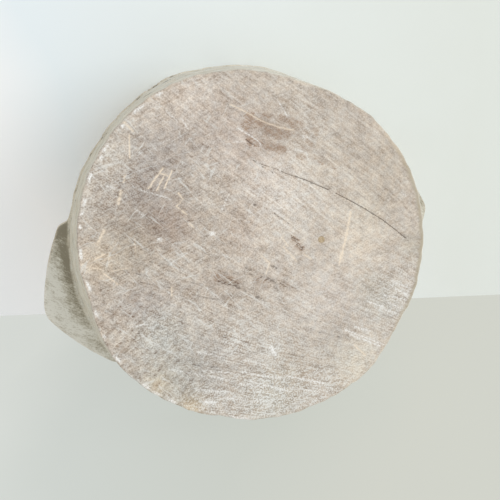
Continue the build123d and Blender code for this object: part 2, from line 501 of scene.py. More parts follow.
# %% Coordinates along and across the fibres
# height on the face in millimetres, and fall of the fibres in degrees
FALLS = [(-125, 11), (-96, 16), (-73, 23), (-49, 28), (-25, 29), (0, 31), (24, 36), (46, 38), (130, 35)]
FALL_HEIGHTS = np.linspace(-200, 200, 401)
FALL_ANGLES = np.radians(np.interp(FALL_HEIGHTS, *zip(*FALLS)))
FALL_SUMS = np.cumsum(1 / np.tan(FALL_ANGLES))
MEAN_FALL = radians(28)


def grain_lines(right, up):
    """Millimetres along and across the fibre through each spot."""
    crossing = right + np.interp(up, FALL_HEIGHTS, FALL_SUMS)
    return right / np.cos(np.interp(up, FALL_HEIGHTS, FALL_ANGLES)), crossing * sin(MEAN_FALL)


along, across = grain_lines(np.array([0.0, 60.0]), np.array([0.0, 0.0]))
print("grain coordinates of two spots:", along.round(1), across.round(1))

# %% [markdown]
# ## Marks of use
#
# A drying crack, tally scratches, knife slips, stains and chips each have a place, a width and a
# depth. They are kept as strokes: a line of spots on the face, in millimetres. Each stroke
# bites into the mesh and leaves its colour in a painted attribute, so that dent and colour
# always agree.

# %% The strokes
DARK, CREAM, CHALK, BROWN = range(4)
strokes = []


def stroke(colour, strength, width, depth, *lines):
    """Adds strokes of one colour, with their width and depth in millimetres."""
    for line in lines:
        strokes.append((colour, strength, width / 2, depth, np.array(line, dtype=float)))


print("ready for strokes of", BROWN + 1, "colours")

# %% The drying crack, and the broken dashes at its upper end
# painted shade: the crack's groove is also painted dark
stroke(DARK, 1.0, 0.7, 0.4, [(28.2, 61.2), (41.8, 56.8), (51.7, 52.6), (62.7, 47.9)])
stroke(DARK, 1.0, 0.7, 0.4,
       [(69, 45), (83.1, 37.9), (96.6, 30.2), (110.4, 21.8), (121.5, 13.5), (131.5, 5.7)])
stroke(DARK, 0.66, 0.8, 0.4, [(-1.8, 73), (0.8, 71.6)], [(3.3, 70.3), (11.6, 67.5)],
       [(13.7, 67.2), (19.9, 64.8)])
stroke(DARK, 0.6, 0.9, 0.3, [(5.9, 67.7), (8.6, 66.5)], [(12.6, 64.4), (14.9, 62.4)],
       [(21.9, 63.8), (27.7, 61.2)])
print(len(strokes), "strokes make the crack")

# %% Tally scratches and slips of a knife, down to fresh wood
stroke(CREAM, 1.0, 1.1, 0.3, [(-88.2, 50.8), (-76.2, 66.9)], [(-75.2, 51.1), (-68.9, 64.8)])
stroke(CREAM, 0.9, 1.0, 0.3, [(-81.7, 48.7), (-75.1, 61.6)], [(-77.9, 62.8), (-72.2, 60.8)])
stroke(CREAM, 0.8, 1.0, 0.2, [(-64, 47), (-61, 43)], [(-60, 42), (-65.5, 36), (-57, 29)])
stroke(CREAM, 1.0, 1.6, 0.3, [(82.3, 29.1), (78.2, 7.1), (72.6, -15.6)])
stroke(CREAM, 0.7, 1.2, 0.2, [(-107, 104), (-100, 97)], [(-103, 94), (-103, 76)],
       [(-107, 62), (-108, 56)])
stroke(CREAM, 0.9, 2.2, 0.2, [(-110.5, 49), (-112.5, 39)], [(-124.5, 17), (-130, 6)])
stroke(CREAM, 0.8, 1.1, 0.2, [(-125, -18), (-114, -27)], [(-132, -6), (-124, -2)],
       [(-70, -31), (-70, -38)])
stroke(CREAM, 0.45, 1.0, 0.2, [(-138, -12), (-128, -14)], [(-118, -16), (-106, -14)],
       [(-121, -1), (-121, -11)], [(-100, 10), (-99, -2)])
stroke(CREAM, 0.6, 1.1, 0.2, [(24, 1), (30, -5.4), (35.7, -12.4)],
       [(5.7, -6.6), (12.5, -12.6), (9.2, -21.8)], [(42, -6), (48, -10)])
stroke(CREAM, 0.7, 1.0, 0.2, [(87, -86), (97, -95)], [(-55, 22), (-51, 18)],
       [(22.7, 9), (27.9, 1.4)])
print(len(strokes), "strokes with the scratches")

# %% Paler rubbed lines
stroke(CHALK, 0.6, 1.1, 0.1, [(-22, 46), (-25, 39), (-29, 31)], [(-73, 113), (-68, 108)],
       [(-60, 106), (-56, 99)])
stroke(CHALK, 0.5, 1.3, 0.1, [(-79, 87), (-70, 90)], [(-99, 34), (-93, 29)],
       [(-123, 54), (-116, 51)])
stroke(CREAM, 0.7, 1.0, 0.2, [(-21.1, 118.8), (-7.8, 112.4), (5.6, 105.1), (19, 100.3), (32.2, 97.8)])
stroke(CHALK, 0.6, 1.1, 0.2, [(-14.5, 99.4), (-6.1, 94.6), (1.4, 89.7), (5.6, 84.7)],
       [(18.9, 121.5), (24, 114.2), (26.6, 109.3)])
stroke(CHALK, 0.5, 1.1, 0.1, [(-18.6, 87.3), (-10.3, 88.9)], [(38, 93), (47, 91)],
       [(33, 83), (44, 78)])
stroke(CHALK, 0.6, 1.1, 0.1, [(127, 45), (131, 42)], [(-106, -63), (-91, -61)],
       [(-70, 42), (-96, 50)])
stroke(CHALK, 0.55, 1.1, 0.2, [(119.6, -30.9), (132.3, -36.5), (138.7, -39.3)],
       [(122.4, -37.9), (134.2, -43.5), (139.7, -46.3)])
stroke(CHALK, 0.5, 1.1, 0.2, [(116.3, -49.1), (130.9, -56.5)], [(109.2, -54.1), (123.7, -58.9)],
       [(113, -43), (134, -48)])
stroke(CHALK, 0.7, 1.3, 0.2, [(82.7, -75.8), (109.8, -87.4)], [(78.3, -72.1), (114.2, -86.7)],
       [(87.1, -69.8), (100.6, -73.8)])
stroke(CHALK, 0.75, 1.3, 0.1, [(-13.1, -104.6), (5.9, -109), (23.2, -111.5)],
       [(27, -110), (60, -118)], [(-13, -115), (7, -119)])
stroke(CHALK, 0.7, 1.2, 0.1, [(-4.5, -112.8), (30.3, -124.1)], [(-50, -118), (-22, -122)],
       [(98, -48), (112, -53)])
stroke(CHALK, 0.6, 1.1, 0.1, [(-47, -102.2), (-21.6, -105.1)], [(-72.2, -100.2), (-21.6, -111.1)],
       [(-25.9, -126.4), (5.9, -131.6)])
stroke(CHALK, 0.6, 1.2, 0.1, [(-49.4, -85.9), (-30.1, -91)], [(-9.6, -94.5), (11, -100.6)],
       [(29, -120), (58, -126)])
stroke(CHALK, 0.9, 3.2, 0.0, [(-80, 9), (-79, 9)], [(-37, 13), (-35, 13)], [(14, -85), (17, -91)],
       [(-42.1, -129.1), (-35.3, -130.3)])
print(len(strokes), "strokes with the rubbed lines")

# %% Stains, pits and dirt
stroke(DARK, 0.66, 3.0, 0.5, [(-7.8, -16.5), (-3, -17.8)], [(0.7, -40.6), (6.6, -42.9)],
       [(-19, -29), (-13.4, -33)])
stroke(DARK, 0.6, 2.8, 0.4, [(-20, -19.4), (-13.5, -21.6)], [(-4.9, -21.5), (-2.8, -22.7)],
       [(10, -25.2), (17.7, -30.6)])
stroke(DARK, 0.28, 7.0, 0.1, [(-27, -26), (-15, -31)], [(6, -24), (16, -29)],
       [(23, -31), (25, -32)])
stroke(DARK, 0.55, 2.2, 0.3, [(-31.5, -26.8), (-22.2, -30.2)], [(-13.4, -33), (-7.9, -35.6)],
       [(4.5, -22.8), (10, -25.2)])
stroke(DARK, 0.5, 2.8, 0.3, [(21.5, -29.9), (27.2, -33.4)], [(13.5, -14.6), (17.8, -16.8)],
       [(16, -32), (19, -36)])
stroke(DARK, 0.42, 3.0, 0.2, [(31, 9), (35, 6)], [(36, 3), (40, -1)], [(28, 139), (31, 137)],
       [(-108, 96), (-104, 96)])
stroke(DARK, 0.95, 1.9, 0.8, [(-1.2, 36.4), (-0.2, 36)], [(-113, 46), (-112, 45)])
stroke(DARK, 0.5, 1.0, 0.3, [(0, 36), (4, 34)], [(-8, 90), (-1, 85)], [(-124, 98), (-112, 94)])
stroke(DARK, 0.6, 0.9, 0.3, [(16, 29), (30, 19)], [(-126, -40), (-125, -41)],
       [(-109, -36), (-108, -37)])
stroke(DARK, 0.42, 1.0, 0.2, [(-121, -14), (-104, -17), (-88, -22)],
       [(-96, -26), (-78, -30), (-63, -33)])
stroke(DARK, 0.42, 1.0, 0.2, [(-63, -25), (-48, -29), (-34, -33)], [(-88, -9), (-67, -14)],
       [(-55, -37), (-40, -41), (-24, -43)])
stroke(DARK, 0.4, 1.0, 0.2, [(39, -69), (62, -75), (83, -81)],
       [(-60, -96), (-38, -99), (-12, -103)], [(20, -89), (42, -94)])
stroke(DARK, 0.4, 0.9, 0.2, [(-66, -108), (-42, -112)], [(12, -117), (38, -120)],
       [(40, -60), (58, -65)], [(84, 66), (97, 58)])
print(len(strokes), "strokes with the stains")

# %% Patches where the brown of the old surface still shows, ragged along the fibres
stroke(BROWN, 0.70, 10, 0.1, [(-5.5, 108), (-6, 102.5)], [(19, 96.5), (26, 95)])
stroke(BROWN, 0.70, 7, 0.1, [(1, 105), (12, 100.8), (26, 95)], [(9, 98), (20, 93)])
stroke(BROWN, 0.70, 6, 0.1, [(22, 107.3), (30, 105), (38, 102.7)], [(31, 100.6), (35, 99.6)])
stroke(BROWN, 0.60, 3, 0.1, [(5.5, 110), (14, 109.2)], [(47, 99.4), (52.1, 97.8), (51.3, 93.7)],
       [(32.6, 94.5), (36.8, 93.7)])
stroke(BROWN, 0.66, 5, 0.1, [(-6, 91.5), (-1, 89.5), (4.7, 86)], [(-4, 87), (0, 86.5)])
stroke(BROWN, 0.72, 7, 0.1, [(11.5, 85), (17.4, 83.4), (23.5, 81.5)])
stroke(BROWN, 0.55, 4, 0.1, [(36.1, 77.2), (41.2, 74.7)], [(44.5, 88.7), (49.7, 83.8)])
stroke(BROWN, 0.42, 2.5, 0.1, [(46, 76), (57, 70)], [(60, 71), (68, 66)], [(40, 84), (47, 80)])
stroke(BROWN, 0.5, 8, 0.1, [(2, -28), (9, -31)], [(-32, -24), (-16, -27)], [(24, -32), (25, -32)],
       [(33, 8), (39, 0)])
print(len(strokes), "strokes on the face")

# %% [markdown]
# ### From strokes to a mask
#
# A point belongs to a stroke when it lies nearer to its line than half its width. The soft edge
# keeps the dent from looking stamped. A boolean could cut real grooves, but hundreds of cutters
# would be slow and leave torn faces, so the mesh is only pushed in where a stroke passes.

# %% Distance to a stroke, and the strokes seen together
def distance(right, up, line):
    """Millimetres from each spot to a line of points."""
    nearest = np.full(right.shape, 1e9)
    for start, end in zip(line[:-1], line[1:]):
        way = end - start
        share = ((right - start[0]) * way[0] + (up - start[1]) * way[1]) / max(way @ way, 1e-9)
        share = np.clip(share, 0, 1)
        off_right = right - start[0] - share * way[0]
        off_up = up - start[1] - share * way[1]
        nearest = np.minimum(nearest, np.hypot(off_right, off_up))
    return nearest


def worn_by_strokes(right, up):
    """For each spot the four stroke colours, and the depth in millimetres."""
    colours = np.zeros((4, len(right)))
    bite = np.zeros(len(right))
    for colour, strength, half_width, depth, line in strokes:
        away = distance(right, up, line) / half_width
        cover = soft(away, 1.6, 0.4)
        colours[colour] = np.maximum(colours[colour], strength * cover)
        bite = np.maximum(bite, depth * cover)
    return colours, bite


print("deepest bite at the crack:", worn_by_strokes(np.array([41.8]), np.array([56.8]))[1], "mm")

# %% [markdown]
# ## A round face with even cells
#
# A disc made by spinning crowds its faces at the centre and starves its edge. Here a square grid
# is squeezed into a circle instead: rings of the square become rings of the disc, and every cell
# keeps nearly the same size. Round its open edge the disc is then extruded, ring after ring,
# over the worn arris and up the side.

# %% The disc
TINY = 1e-9  # below this a number counts as nothing
ON_PLANE = 1e-6  # metres that a point may lie off a plane and still count as on it


def even_disc(bm, cells):
    """Adds a disc of radius 1 with cells of nearly one size."""
    bmesh.ops.create_grid(bm, x_segments=cells, y_segments=cells, size=1)
    for vertex in bm.verts:
        x, y = vertex.co.x, vertex.co.y
        if abs(x) < TINY and abs(y) < TINY:
            radius, angle = 0.0, 0.0
        elif abs(x) >= abs(y):
            radius, angle = x, pi / 4 * y / x
        else:
            radius, angle = y, pi / 2 - pi / 4 * x / y
        vertex.co = Vector((radius * cos(angle), radius * sin(angle), 0))


sample = bmesh.new()
even_disc(sample, 8)
print("a disc of 8 cells across has", len(sample.faces), "faces")
sample.free()


# %% Its sides, ring after ring
def seen_angle(co):
    """The angle of one point as seen on the leaning face."""
    return atan2(co.dot(UP), co.dot(RIGHT))


def extruded(bm, edges):
    """Extrudes edges and returns the new vertices."""
    made = bmesh.ops.extrude_edge_only(bm, edges=edges)["geom"]
    return [v for v in made if isinstance(v, bmesh.types.BMVert)]


def extrude_rings(bm, edges, rings):
    """Extrudes a loop of edges once for each ring: a function from angles to radii and heights."""
    for ring in rings:
        new = extruded(bm, edges)
        known = set(new)
        edges = [e for v in new for e in v.link_edges if e.verts[0] in known and e.verts[1] in known]
        edges = list(dict.fromkeys(edges))
        way = [v.co.xy.normalized() for v in new]
        radius, height = ring(np.array([seen_angle(w.to_3d()) for w in way]))
        for vertex, direction, r, h in zip(new, way, radius, height):
            vertex.co = (*(direction * r), h)
    return edges


def open_edges(bm):
    """The edges that only one face uses."""
    return [e for e in bm.edges if e.is_boundary]


def close_middle(bm, edges, height):
    """Closes a loop with one vertex in the middle."""
    bmesh.ops.pointmerge(bm, verts=extruded(bm, edges), merge_co=(0, 0, height))


print("straight ahead is seen at", round(degrees(seen_angle(Vector((0, 1, 0)))), 1), "degrees")


# %% From a bmesh to a piece, and numbers stored on it
def spots_of(bm):
    """The vertices of a bmesh as an array."""
    bm.verts.ensure_lookup_table()
    return np.array([v.co for v in bm.verts])


def finished(bm, name, node, body):
    """Turns a bmesh into a smooth piece that stands for a node of the frame."""
    bmesh.ops.recalc_face_normals(bm, faces=bm.faces)
    mesh = bpy.data.meshes.new(name)
    bm.to_mesh(mesh)
    bm.free()
    mesh.shade_smooth()
    piece = bpy.data.objects.new(name, mesh)
    bpy.context.scene.collection.objects.link(piece)
    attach(piece, body)
    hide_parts(node)
    lit.objects.link(piece)
    print(name, "has", len(mesh.polygons), "faces")
    return piece


def points_of(mesh):
    """The vertices of a mesh as an array."""
    co = np.zeros(len(mesh.vertices) * 3)
    mesh.vertices.foreach_get("co", co)
    return co.reshape(-1, 3)


def stored(mesh, name, kind, field, values):
    """Stores an array as an attribute of the vertices."""
    data = mesh.attributes.new(name, kind, "POINT").data
    data.foreach_set(field, values.astype(np.float32).ravel())


def painted(mesh, name, *channels):
    """Stores up to three numbers for each vertex as a colour attribute."""
    values = np.ones((len(mesh.vertices), 4))
    for index, channel in enumerate(channels):
        values[:, index] = channel
    stored(mesh, name, "FLOAT_COLOR", "color", values)


def grained(mesh):
    """Stores the grain coordinates of each vertex, in metres."""
    co = points_of(mesh)
    along, across = grain_lines(*seen_from_front(co))
    lines = np.stack([along * MM, across * MM, co[:, 2]], axis=1)
    stored(mesh, "grain", "FLOAT_VECTOR", "vector", lines)


print("pieces go to the scene and to", lit.name)

# %% [markdown]
# ## The base board
#
# The whole round face belongs to this board. Its mesh is cut finer along the strokes, so that
# even the thin crack is a true groove. The old hole is cut out of the grid, its edge is pulled to
# a true circle, and the plug of the frame stands in it. The arris is worn wide at the right and
# narrow at the left, where chips have come off.

# %% Build the board's mesh
DISC_CELLS = 226
ARRIS_WIDE = 3.0 * MM
ARRIS_SWING = 1.9 * MM
ARRIS_RISE = 0.8  # height of the arris for each millimetre of its width
ARRIS_STEPS = 5
SIDE_STEPS = 8
PLUG_GAP = 0.05 * MM
plug_low, plug_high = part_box("hole_plug")
plug_centre = (plug_low + plug_high) / 2
plug_radius = (plug_high.x - plug_low.x) / 2 + PLUG_GAP


def arris_width(angle):
    """How wide the worn edge is at an angle on the face."""
    return ARRIS_WIDE + ARRIS_SWING * np.cos(angle - radians(10))


def arris_ring(share):
    """A ring on the rounded arris, a share of the way from the face to the side."""

    def ring(angle):
        width = arris_width(angle)
        height = ARRIS_RISE * width * (1 - cos(share * pi / 2))
        return wall_radius(angle, height) - width * (1 - sin(share * pi / 2)), height

    return ring


def side_ring(share):
    """A ring on the board's side, a share of the way up to its top."""

    def ring(angle):
        start = ARRIS_RISE * arris_width(angle)
        height = start + (BOARD_TOP - start) * share
        return wall_radius(angle, height), height

    return ring


def top_ring(share):
    """A ring on the board's upper side, which the wall and the print hide."""
    return lambda angle: (wall_radius(angle, BOARD_TOP) * share, np.full_like(angle, BOARD_TOP))


board = bmesh.new()
even_disc(board, DISC_CELLS)
for vertex in board.verts:
    angle = np.array([seen_angle(vertex.co)])
    vertex.co *= base_edge(angle)[0] - arris_width(angle)[0]
board_rings = [arris_ring(step / ARRIS_STEPS) for step in range(1, ARRIS_STEPS + 1)]
board_rings += [side_ring(step / SIDE_STEPS) for step in range(1, SIDE_STEPS + 1)]
board_rings += [top_ring(share) for share in (0.995, 0.9, 0.7, 0.4)]
close_middle(board, extrude_rings(board, open_edges(board), board_rings), BOARD_TOP)
print("board blank:", len(board.faces), "faces")

# %% Cut the mesh finer along the thin strokes and round the plug
FINE_BAND = 1.1  # millimetres to each side of a stroke
THIN, DEEP_ENOUGH = 0.8, 0.15  # half width and depth of the strokes that need it, in millimetres
PLUG_BAND = 1.5 * MM
thin = [line for _, _, half_width, depth, line in strokes if half_width < THIN and depth > DEEP_ENOUGH]
board.verts.index_update()
co = spots_of(board)
right, up = seen_from_front(co)
near = np.zeros(len(co), dtype=bool)
for line in thin:
    near |= distance(right, up, line) < FINE_BAND
near |= np.hypot(co[:, 0] - plug_centre.x, co[:, 1] - plug_centre.y) < plug_radius + PLUG_BAND
near &= co[:, 2] < ON_PLANE
edges = [e for e in board.edges if near[e.verts[0].index] and near[e.verts[1].index]]
bmesh.ops.subdivide_edges(board, edges=edges, cuts=3, use_grid_fill=True)
print("after cutting finer:", len(board.faces), "faces")


# %% Cut the old hole
def cut_hole(bm, centre, radius, depth):
    """Deletes the faces inside a circle, rounds the opening and gives it a wall."""
    face_middles = [(f, f.calc_center_median()) for f in bm.faces]
    inside = [f for f, at in face_middles if at.z < ON_PLANE and (at - centre).xy.length < radius]
    bmesh.ops.delete(bm, geom=inside, context="FACES")
    lip = open_edges(bm)
    for vertex in {v for e in lip for v in e.verts}:
        away = Vector((vertex.co.x - centre.x, vertex.co.y - centre.y, 0))
        vertex.co = Vector((centre.x, centre.y, 0)) + away.normalized() * radius
    bmesh.ops.translate(bm, verts=extruded(bm, lip), vec=(0, 0, depth))
    bmesh.ops.holes_fill(bm, edges=open_edges(bm), sides=0)


HOLE_DEPTH = 3 * MM
cut_hole(board, Vector((plug_centre.x, plug_centre.y, 0)), plug_radius, HOLE_DEPTH)
print("open edges left:", len(open_edges(board)))

# %% [markdown]
# ### Relief
#
# The face was planed by hand and has dried since: long shallow waves, furrows along the fibres,
# and at the lower left a row of chatter marks where the gouge skipped. All of it lies behind the
# plane that the board stands on, so the mold still rests flat.

# %% Chatter marks at the lower left
CHATTER_PITCH = 6.6  # millimetres from one skip of the gouge to the next
CHATTER_RISE = radians(48)  # the marks rise to the right
CHATTER_WANDER = 1.6


def chatter(co, right, up):
    """0 to 1 in the furrows of the chatter marks."""
    angle, radius = np.arctan2(up, right), np.hypot(right, up)
    place = soft(angle, radians(-170), radians(-155)) * soft(angle, radians(-92), radians(-112))
    place *= soft(radius, 100, 118) * soft(radius, 146, 138)
    wander = lumps(co, 14 * MM, 3) * CHATTER_WANDER
    across_marks = right * sin(CHATTER_RISE) - up * cos(CHATTER_RISE) + wander
    furrow = soft(np.cos(across_marks / CHATTER_PITCH * 2 * pi), 0.1, 0.95)
    broken = soft(lumps(co, 9 * MM, 5), -0.3, 0.1)
    return place * furrow * broken


print("the gouge skipped every", CHATTER_PITCH, "mm")

# %% Relief of the whole face, in millimetres
PLANE_DEPTH, LEAST_DEPTH = 0.22, 0.02
WAVE_DEPTH, FURROW_DEPTH, CHATTER_DEPTH, ROLL_OFF = 0.16, 0.07, 0.6, 0.35
WOBBLE = 0.22 * MM


def relief(co, right, up, bite):
    """Millimetres below the plane of the base, for each spot of the face."""
    along, across = grain_lines(right, up)
    fibres = np.stack([along / 30, across / 2.6, np.zeros(len(co))], axis=1)
    depth = PLANE_DEPTH + WAVE_DEPTH * lumps(co, 45 * MM, 1) + FURROW_DEPTH * lumps(fibres, 1.0, 2)
    depth += CHATTER_DEPTH * chatter(co, right, up)
    depth += ROLL_OFF * soft(np.hypot(right, up), 132, 147)
    return np.maximum(depth, LEAST_DEPTH) + bite


co = spots_of(board)
right, up = seen_from_front(co)
_, bite = worn_by_strokes(right, up)
flat = co[:, 2] < ON_PLANE
sunk = relief(co, right, up, bite) * MM
wobble = lumps(co, 16 * MM, 8) * WOBBLE
for vertex, is_flat, depth, push in zip(board.verts, flat, sunk, wobble):
    if is_flat:
        vertex.co.z += depth
    elif vertex.co.z < BOARD_TOP - 1 * MM and vertex.co.xy.length > 0.9 * BASE_RADIUS:
        vertex.co += Vector((vertex.co.x, vertex.co.y, 0)).normalized() * push
board_piece = finished(board, "worn_base_board", "base_board", "mold")

# %% [markdown]
# ### Tones of the face
#
# Weather has greyed the wood unevenly: darker and cooler at the left, bright where hands rubbed
# it right of the middle, chalky along the lower edge. Each tone is a soft round cloud, given by
# its place, its size and how many screen steps it adds to red, green and blue.

# %% Clouds of tone
MEAN = (197, 188, 176)
TONES = [
    # place and size in millimetres, and the steps added to red, green and blue
    ((-93, 42), 20, (-24, -25, -23)), ((-84, 76), 20, (-11, -10, -7)),
    ((-71, 20), 14, (-14, -18, -18)), ((-104, 5), 20, (-12, -13, -15)),
    ((-97, -47), 13, (-17, -17, -14)), ((-75, -36), 12, (-3, -3, -2)),
    ((-41, -93), 20, (-12, -10, -7)), ((-24, -26), 12, (-9, -10, -10)),
    ((10, -27), 9, (-4, -5, -5)), ((68, -83), 15, (-9, -8, -7)), ((120, 70), 22, (-7, -8, -10)),
    ((-13, 16), 13, (-6, -9, -10)), ((-130, -9), 11, (12, 8, 2)), ((-116, 76), 12, (13, 14, 13)),
    ((-80, 118), 16, (11, 10, 9)), ((-51, 128), 18, (8, 7, 7)), ((6, 56), 20, (13, 13, 14)),
    ((32, 37), 18, (10, 11, 12)), ((91, 0), 17, (18, 17, 14)), ((60, 62), 30, (7, 7, 6)),
    ((46, -42), 24, (8, 9, 10)), ((15, -84), 12, (5, 8, 10)), ((16, -133), 18, (3, 8, 8)),
    ((89, -103), 17, (16, 18, 15)), ((115, -50), 14, (1, 5, 7)), ((-80, -69), 14, (-2, 4, 7)),
    ((-73, -112), 22, (-6, -1, 0)), ((-20, 95), 22, (4, 2, 3)), ((78, -42), 20, (5, 5, 6)),
    ((6, 92), 18, (-9, -11, -12)), ((-82, -113), 7, (8, 1, -9)), ((-55, -134), 8, (10, 2, -12)),
    ((-34, 100), 16, (-6, -6, -6)), ((-62, 92), 16, (-7, -7, -6)), ((60, 100), 20, (-5, -5, -5)),
    ((95, -132), 10, (8, 2, -8)), ((-4, -2), 14, (8, 8, 8)), ((30, -3), 12, (6, 6, 6)),
    ((100, -38), 12, (-10, -9, -10)), ((140, 0), 9, (-12, -11, -13)),
    ((-38, -34), 12, (-4, -5, -5)), ((29, 131), 9, (7, 7, 6)), ((99, 30), 14, (5, 6, 5)),
    ((30, -105), 16, (-5, -6, -8)), ((-105, -65), 10, (6, 5, 3)),
]


def clouded(right, up, clouds):
    """The sum of soft round clouds, each a place, a size and one strength or one for each colour."""
    total = 0
    for (centre_right, centre_up), size, strength in clouds:
        cloud = np.exp(-((right - centre_right) ** 2 + (up - centre_up) ** 2) / (2 * size**2))
        total = total + np.multiply.outer(strength, cloud)
    return total


print(len(TONES), "clouds of tone round a mean of", MEAN)

# %% [markdown]
# ### Masks
#
# Three more masks say where the fibres stand out, where a chalky bloom lies on them, and where
# the arris is rubbed down to bare wood. The chips along the left edge are short arcs.

# %% Masks for fibres, bloom and worn edge
FIBROUS = [
    # place and size in millimetres, and strength, as in the two lists below
    ((70, 90), 60, 0.3), ((125, -45), 26, 0.4), ((0, -115), 50, 0.32), ((-90, 30), 50, -0.2),
    ((-90, -100), 30, -0.3), ((100, -10), 30, -0.2),
]
FINE = [
    ((-90, 20), 70, 0.35), ((-80, -80), 50, 0.25), ((0, -105), 45, -0.05), ((90, 60), 60, -0.2),
    ((40, 110), 40, -0.2), ((95, -60), 40, -0.15), ((90, -10), 35, -0.15),
]
BLOOM = [
    ((-17, -79), 9, 0.7), ((-39, -130), 12, 0.7), ((15, -126), 16, 0.9), ((-85, -68), 14, 0.5),
    ((125, -45), 24, 0.7), ((60, -125), 22, 0.45), ((-120, 60), 20, 0.4), ((-70, -125), 25, 0.25),
    ((32, 37), 18, 0.3), ((40, 100), 22, 0.35), ((14, -84), 6, 0.8), ((0, -110), 45, 0.42),
    ((60, -128), 14, 0.5), ((-10, -128), 14, 0.4),
]
EDGE_CHIPS = [
    # angle on the face and half length in degrees, then millimetres inside the outline
    (122, 1.4, 2.0), (129.9, 2.4, 1.8), (145.6, 1.6, 2.6), (149, 1.0, 3.0), (156, 1.6, 2.2),
    (163.8, 1.6, 2.8), (167.5, 0.9, 2.0), (172, 0.8, 2.2), (180.7, 2.0, 1.9), (191.4, 2.0, 2.8),
    (201, 1.2, 2.2), (209, 0.7, 2.0), (218, 1.6, 2.2), (231, 1.4, 1.5), (234.8, 1.6, 1.1),
    (241, 1.6, 1.0), (265, 4.0, 0.8), (137, 0.6, 2.5),
]
CHIP_HALF = 1.5  # half the width of a chip, in millimetres


def edge_chips(angle, from_edge):
    """0 to 1 on the chips, from the angle and the millimetres inside the outline."""
    cover = np.zeros(len(angle))
    for middle, half_length, inside in EDGE_CHIPS:
        off = off_line(angle, middle) / radians(half_length)
        deep = (from_edge - inside) / CHIP_HALF
        cover = np.maximum(cover, soft(np.hypot(off, deep), 1.3, 0.5))
    return cover


print(len(EDGE_CHIPS), "chips, and", len(BLOOM), "clouds of bloom")


# %% Gouge marks on the sides, painted dark as shade
SIDE_MARKS = [
    # angle on the face, height in millimetres, half length in degrees, half width in millimetres
    (141.5, 50, 1.5, 5.2), (113.3, 84, 1.6, 5.4), (119.0, 81, 1.3, 5.4), (116.6, 86, 0.9, 3.4),
    (115.8, 53, 1.0, 5.0), (124.0, 31, 1.2, 4.0), (125.2, 74, 0.9, 6.0), (130.8, 51, 1.1, 4.6),
    (164.7, 50, 1.1, 5.2), (172.5, 61, 1.2, 4.6), (150.3, 83, 1.0, 4.4), (185.0, 52, 2.2, 2.4),
    (97.0, 86, 1.3, 2.4), (192.0, 60, 1.4, 1.8), (168.5, 90, 4.2, 2.4), (161.5, 88, 2.2, 2.0),
    (20.0, 47, 2.0, 1.6), (33.0, 66, 1.2, 2.4), (62.0, 38, 1.6, 1.6), (258.0, 44, 1.5, 1.8),
    (281.0, 63, 2.2, 1.5), (303.0, 30, 1.3, 2.2), (318.0, 70, 1.2, 1.6), (344.0, 52, 2.4, 1.4),
]
SIDE_LEAN = 0.55  # how far a mark leans over half of its width


def side_marks(angle, height):
    """0 to 1 on the gouge marks of the sides, which are painted dark as shade and lean a little, as cuts
    of a tool do.
    """
    cover = np.zeros(len(angle))
    for middle, level_mm, half_length, half_width in SIDE_MARKS:
        off = off_line(angle, middle) / radians(half_length)
        rise = (height / MM - level_mm) / half_width
        cover = np.maximum(cover, soft(np.hypot(off - SIDE_LEAN * rise, rise), 1.7, 0.6))
    return cover


print(len(SIDE_MARKS), "dark marks on the sides")

# %% [markdown]
# ### Painted attributes
#
# Where a mark sits is known for every vertex, so the masks are stored on the mesh itself as
# colour attributes. An image would need an unwrapped map and would blur on the thin strokes.

# %% Paint the board
MOST_TONE = 40  # screen steps that the clouds may add up to
SKIP_DARK, SKIP_BROWN = 0.28, 0.45  # how much the chatter marks colour the wood
SCREEN_GAMMA = 2.2
TONE_SCALE = 2.0  # the attribute holds half of each factor


def paint_face(mesh):
    """Stores tones, strokes, masks and grain on the board."""
    co = points_of(mesh)
    right, up = seen_from_front(co)
    angle, radius = np.arctan2(up, right), np.hypot(right, up)
    from_edge = base_edge(angle) / MM - radius
    colours, _ = worn_by_strokes(right, up)
    face = soft(co[:, 2], 3.0 * MM, 1.0 * MM)
    added = np.clip(clouded(right, up, TONES), -MOST_TONE, MOST_TONE)
    ratios = [(steps + mean) / mean for steps, mean in zip(added, MEAN)]
    painted(mesh, "tone", *[np.where(face > 0, r, 1.0) ** SCREEN_GAMMA / TONE_SCALE for r in ratios])
    chips = edge_chips(angle, from_edge) * face
    skipped = chatter(co, right, up)
    dark = np.maximum(colours[DARK], SKIP_DARK * skipped)
    brown = np.maximum(colours[BROWN], SKIP_BROWN * skipped)
    painted(mesh, "marks", dark * face, colours[CREAM] * face, np.maximum(colours[CHALK] * face, chips))
    fibrous = 0.5 + clouded(right, up, FIBROUS)
    fine = 0.70 + 0.48 * clouded(right, up, FINE)
    wide = arris_width(angle) / MM
    wear = soft(from_edge, 1.0 + wide, 0.5 * wide) * soft(co[:, 2], 6 * MM, 2 * MM)
    wear *= 0.4 + 0.6 * soft(np.abs(angle - radians(5)), radians(50), radians(20))
    painted(mesh, "masks", fibrous, clouded(right, up, BLOOM) * face, wear)
    painted(mesh, "zones", face, brown * face, fine)
    stored(mesh, "nicks", "FLOAT", "value", side_marks(angle, co[:, 2]) * (1 - face))
    grained(mesh)


paint_face(board_piece.data)
print("stored on the board:", [name for name in board_piece.data.attributes.keys() if name[0] != "."])

# %% [markdown]
# ### Weathered wood
#
# The finish stacks noises of several shapes: thin fibres a millimetre wide, longer streaks,
# specks and a slow drift between warm and cool grey. A ramp turns their sum into wood colours.
# Over it come the brown patches, the strokes and the bloom.

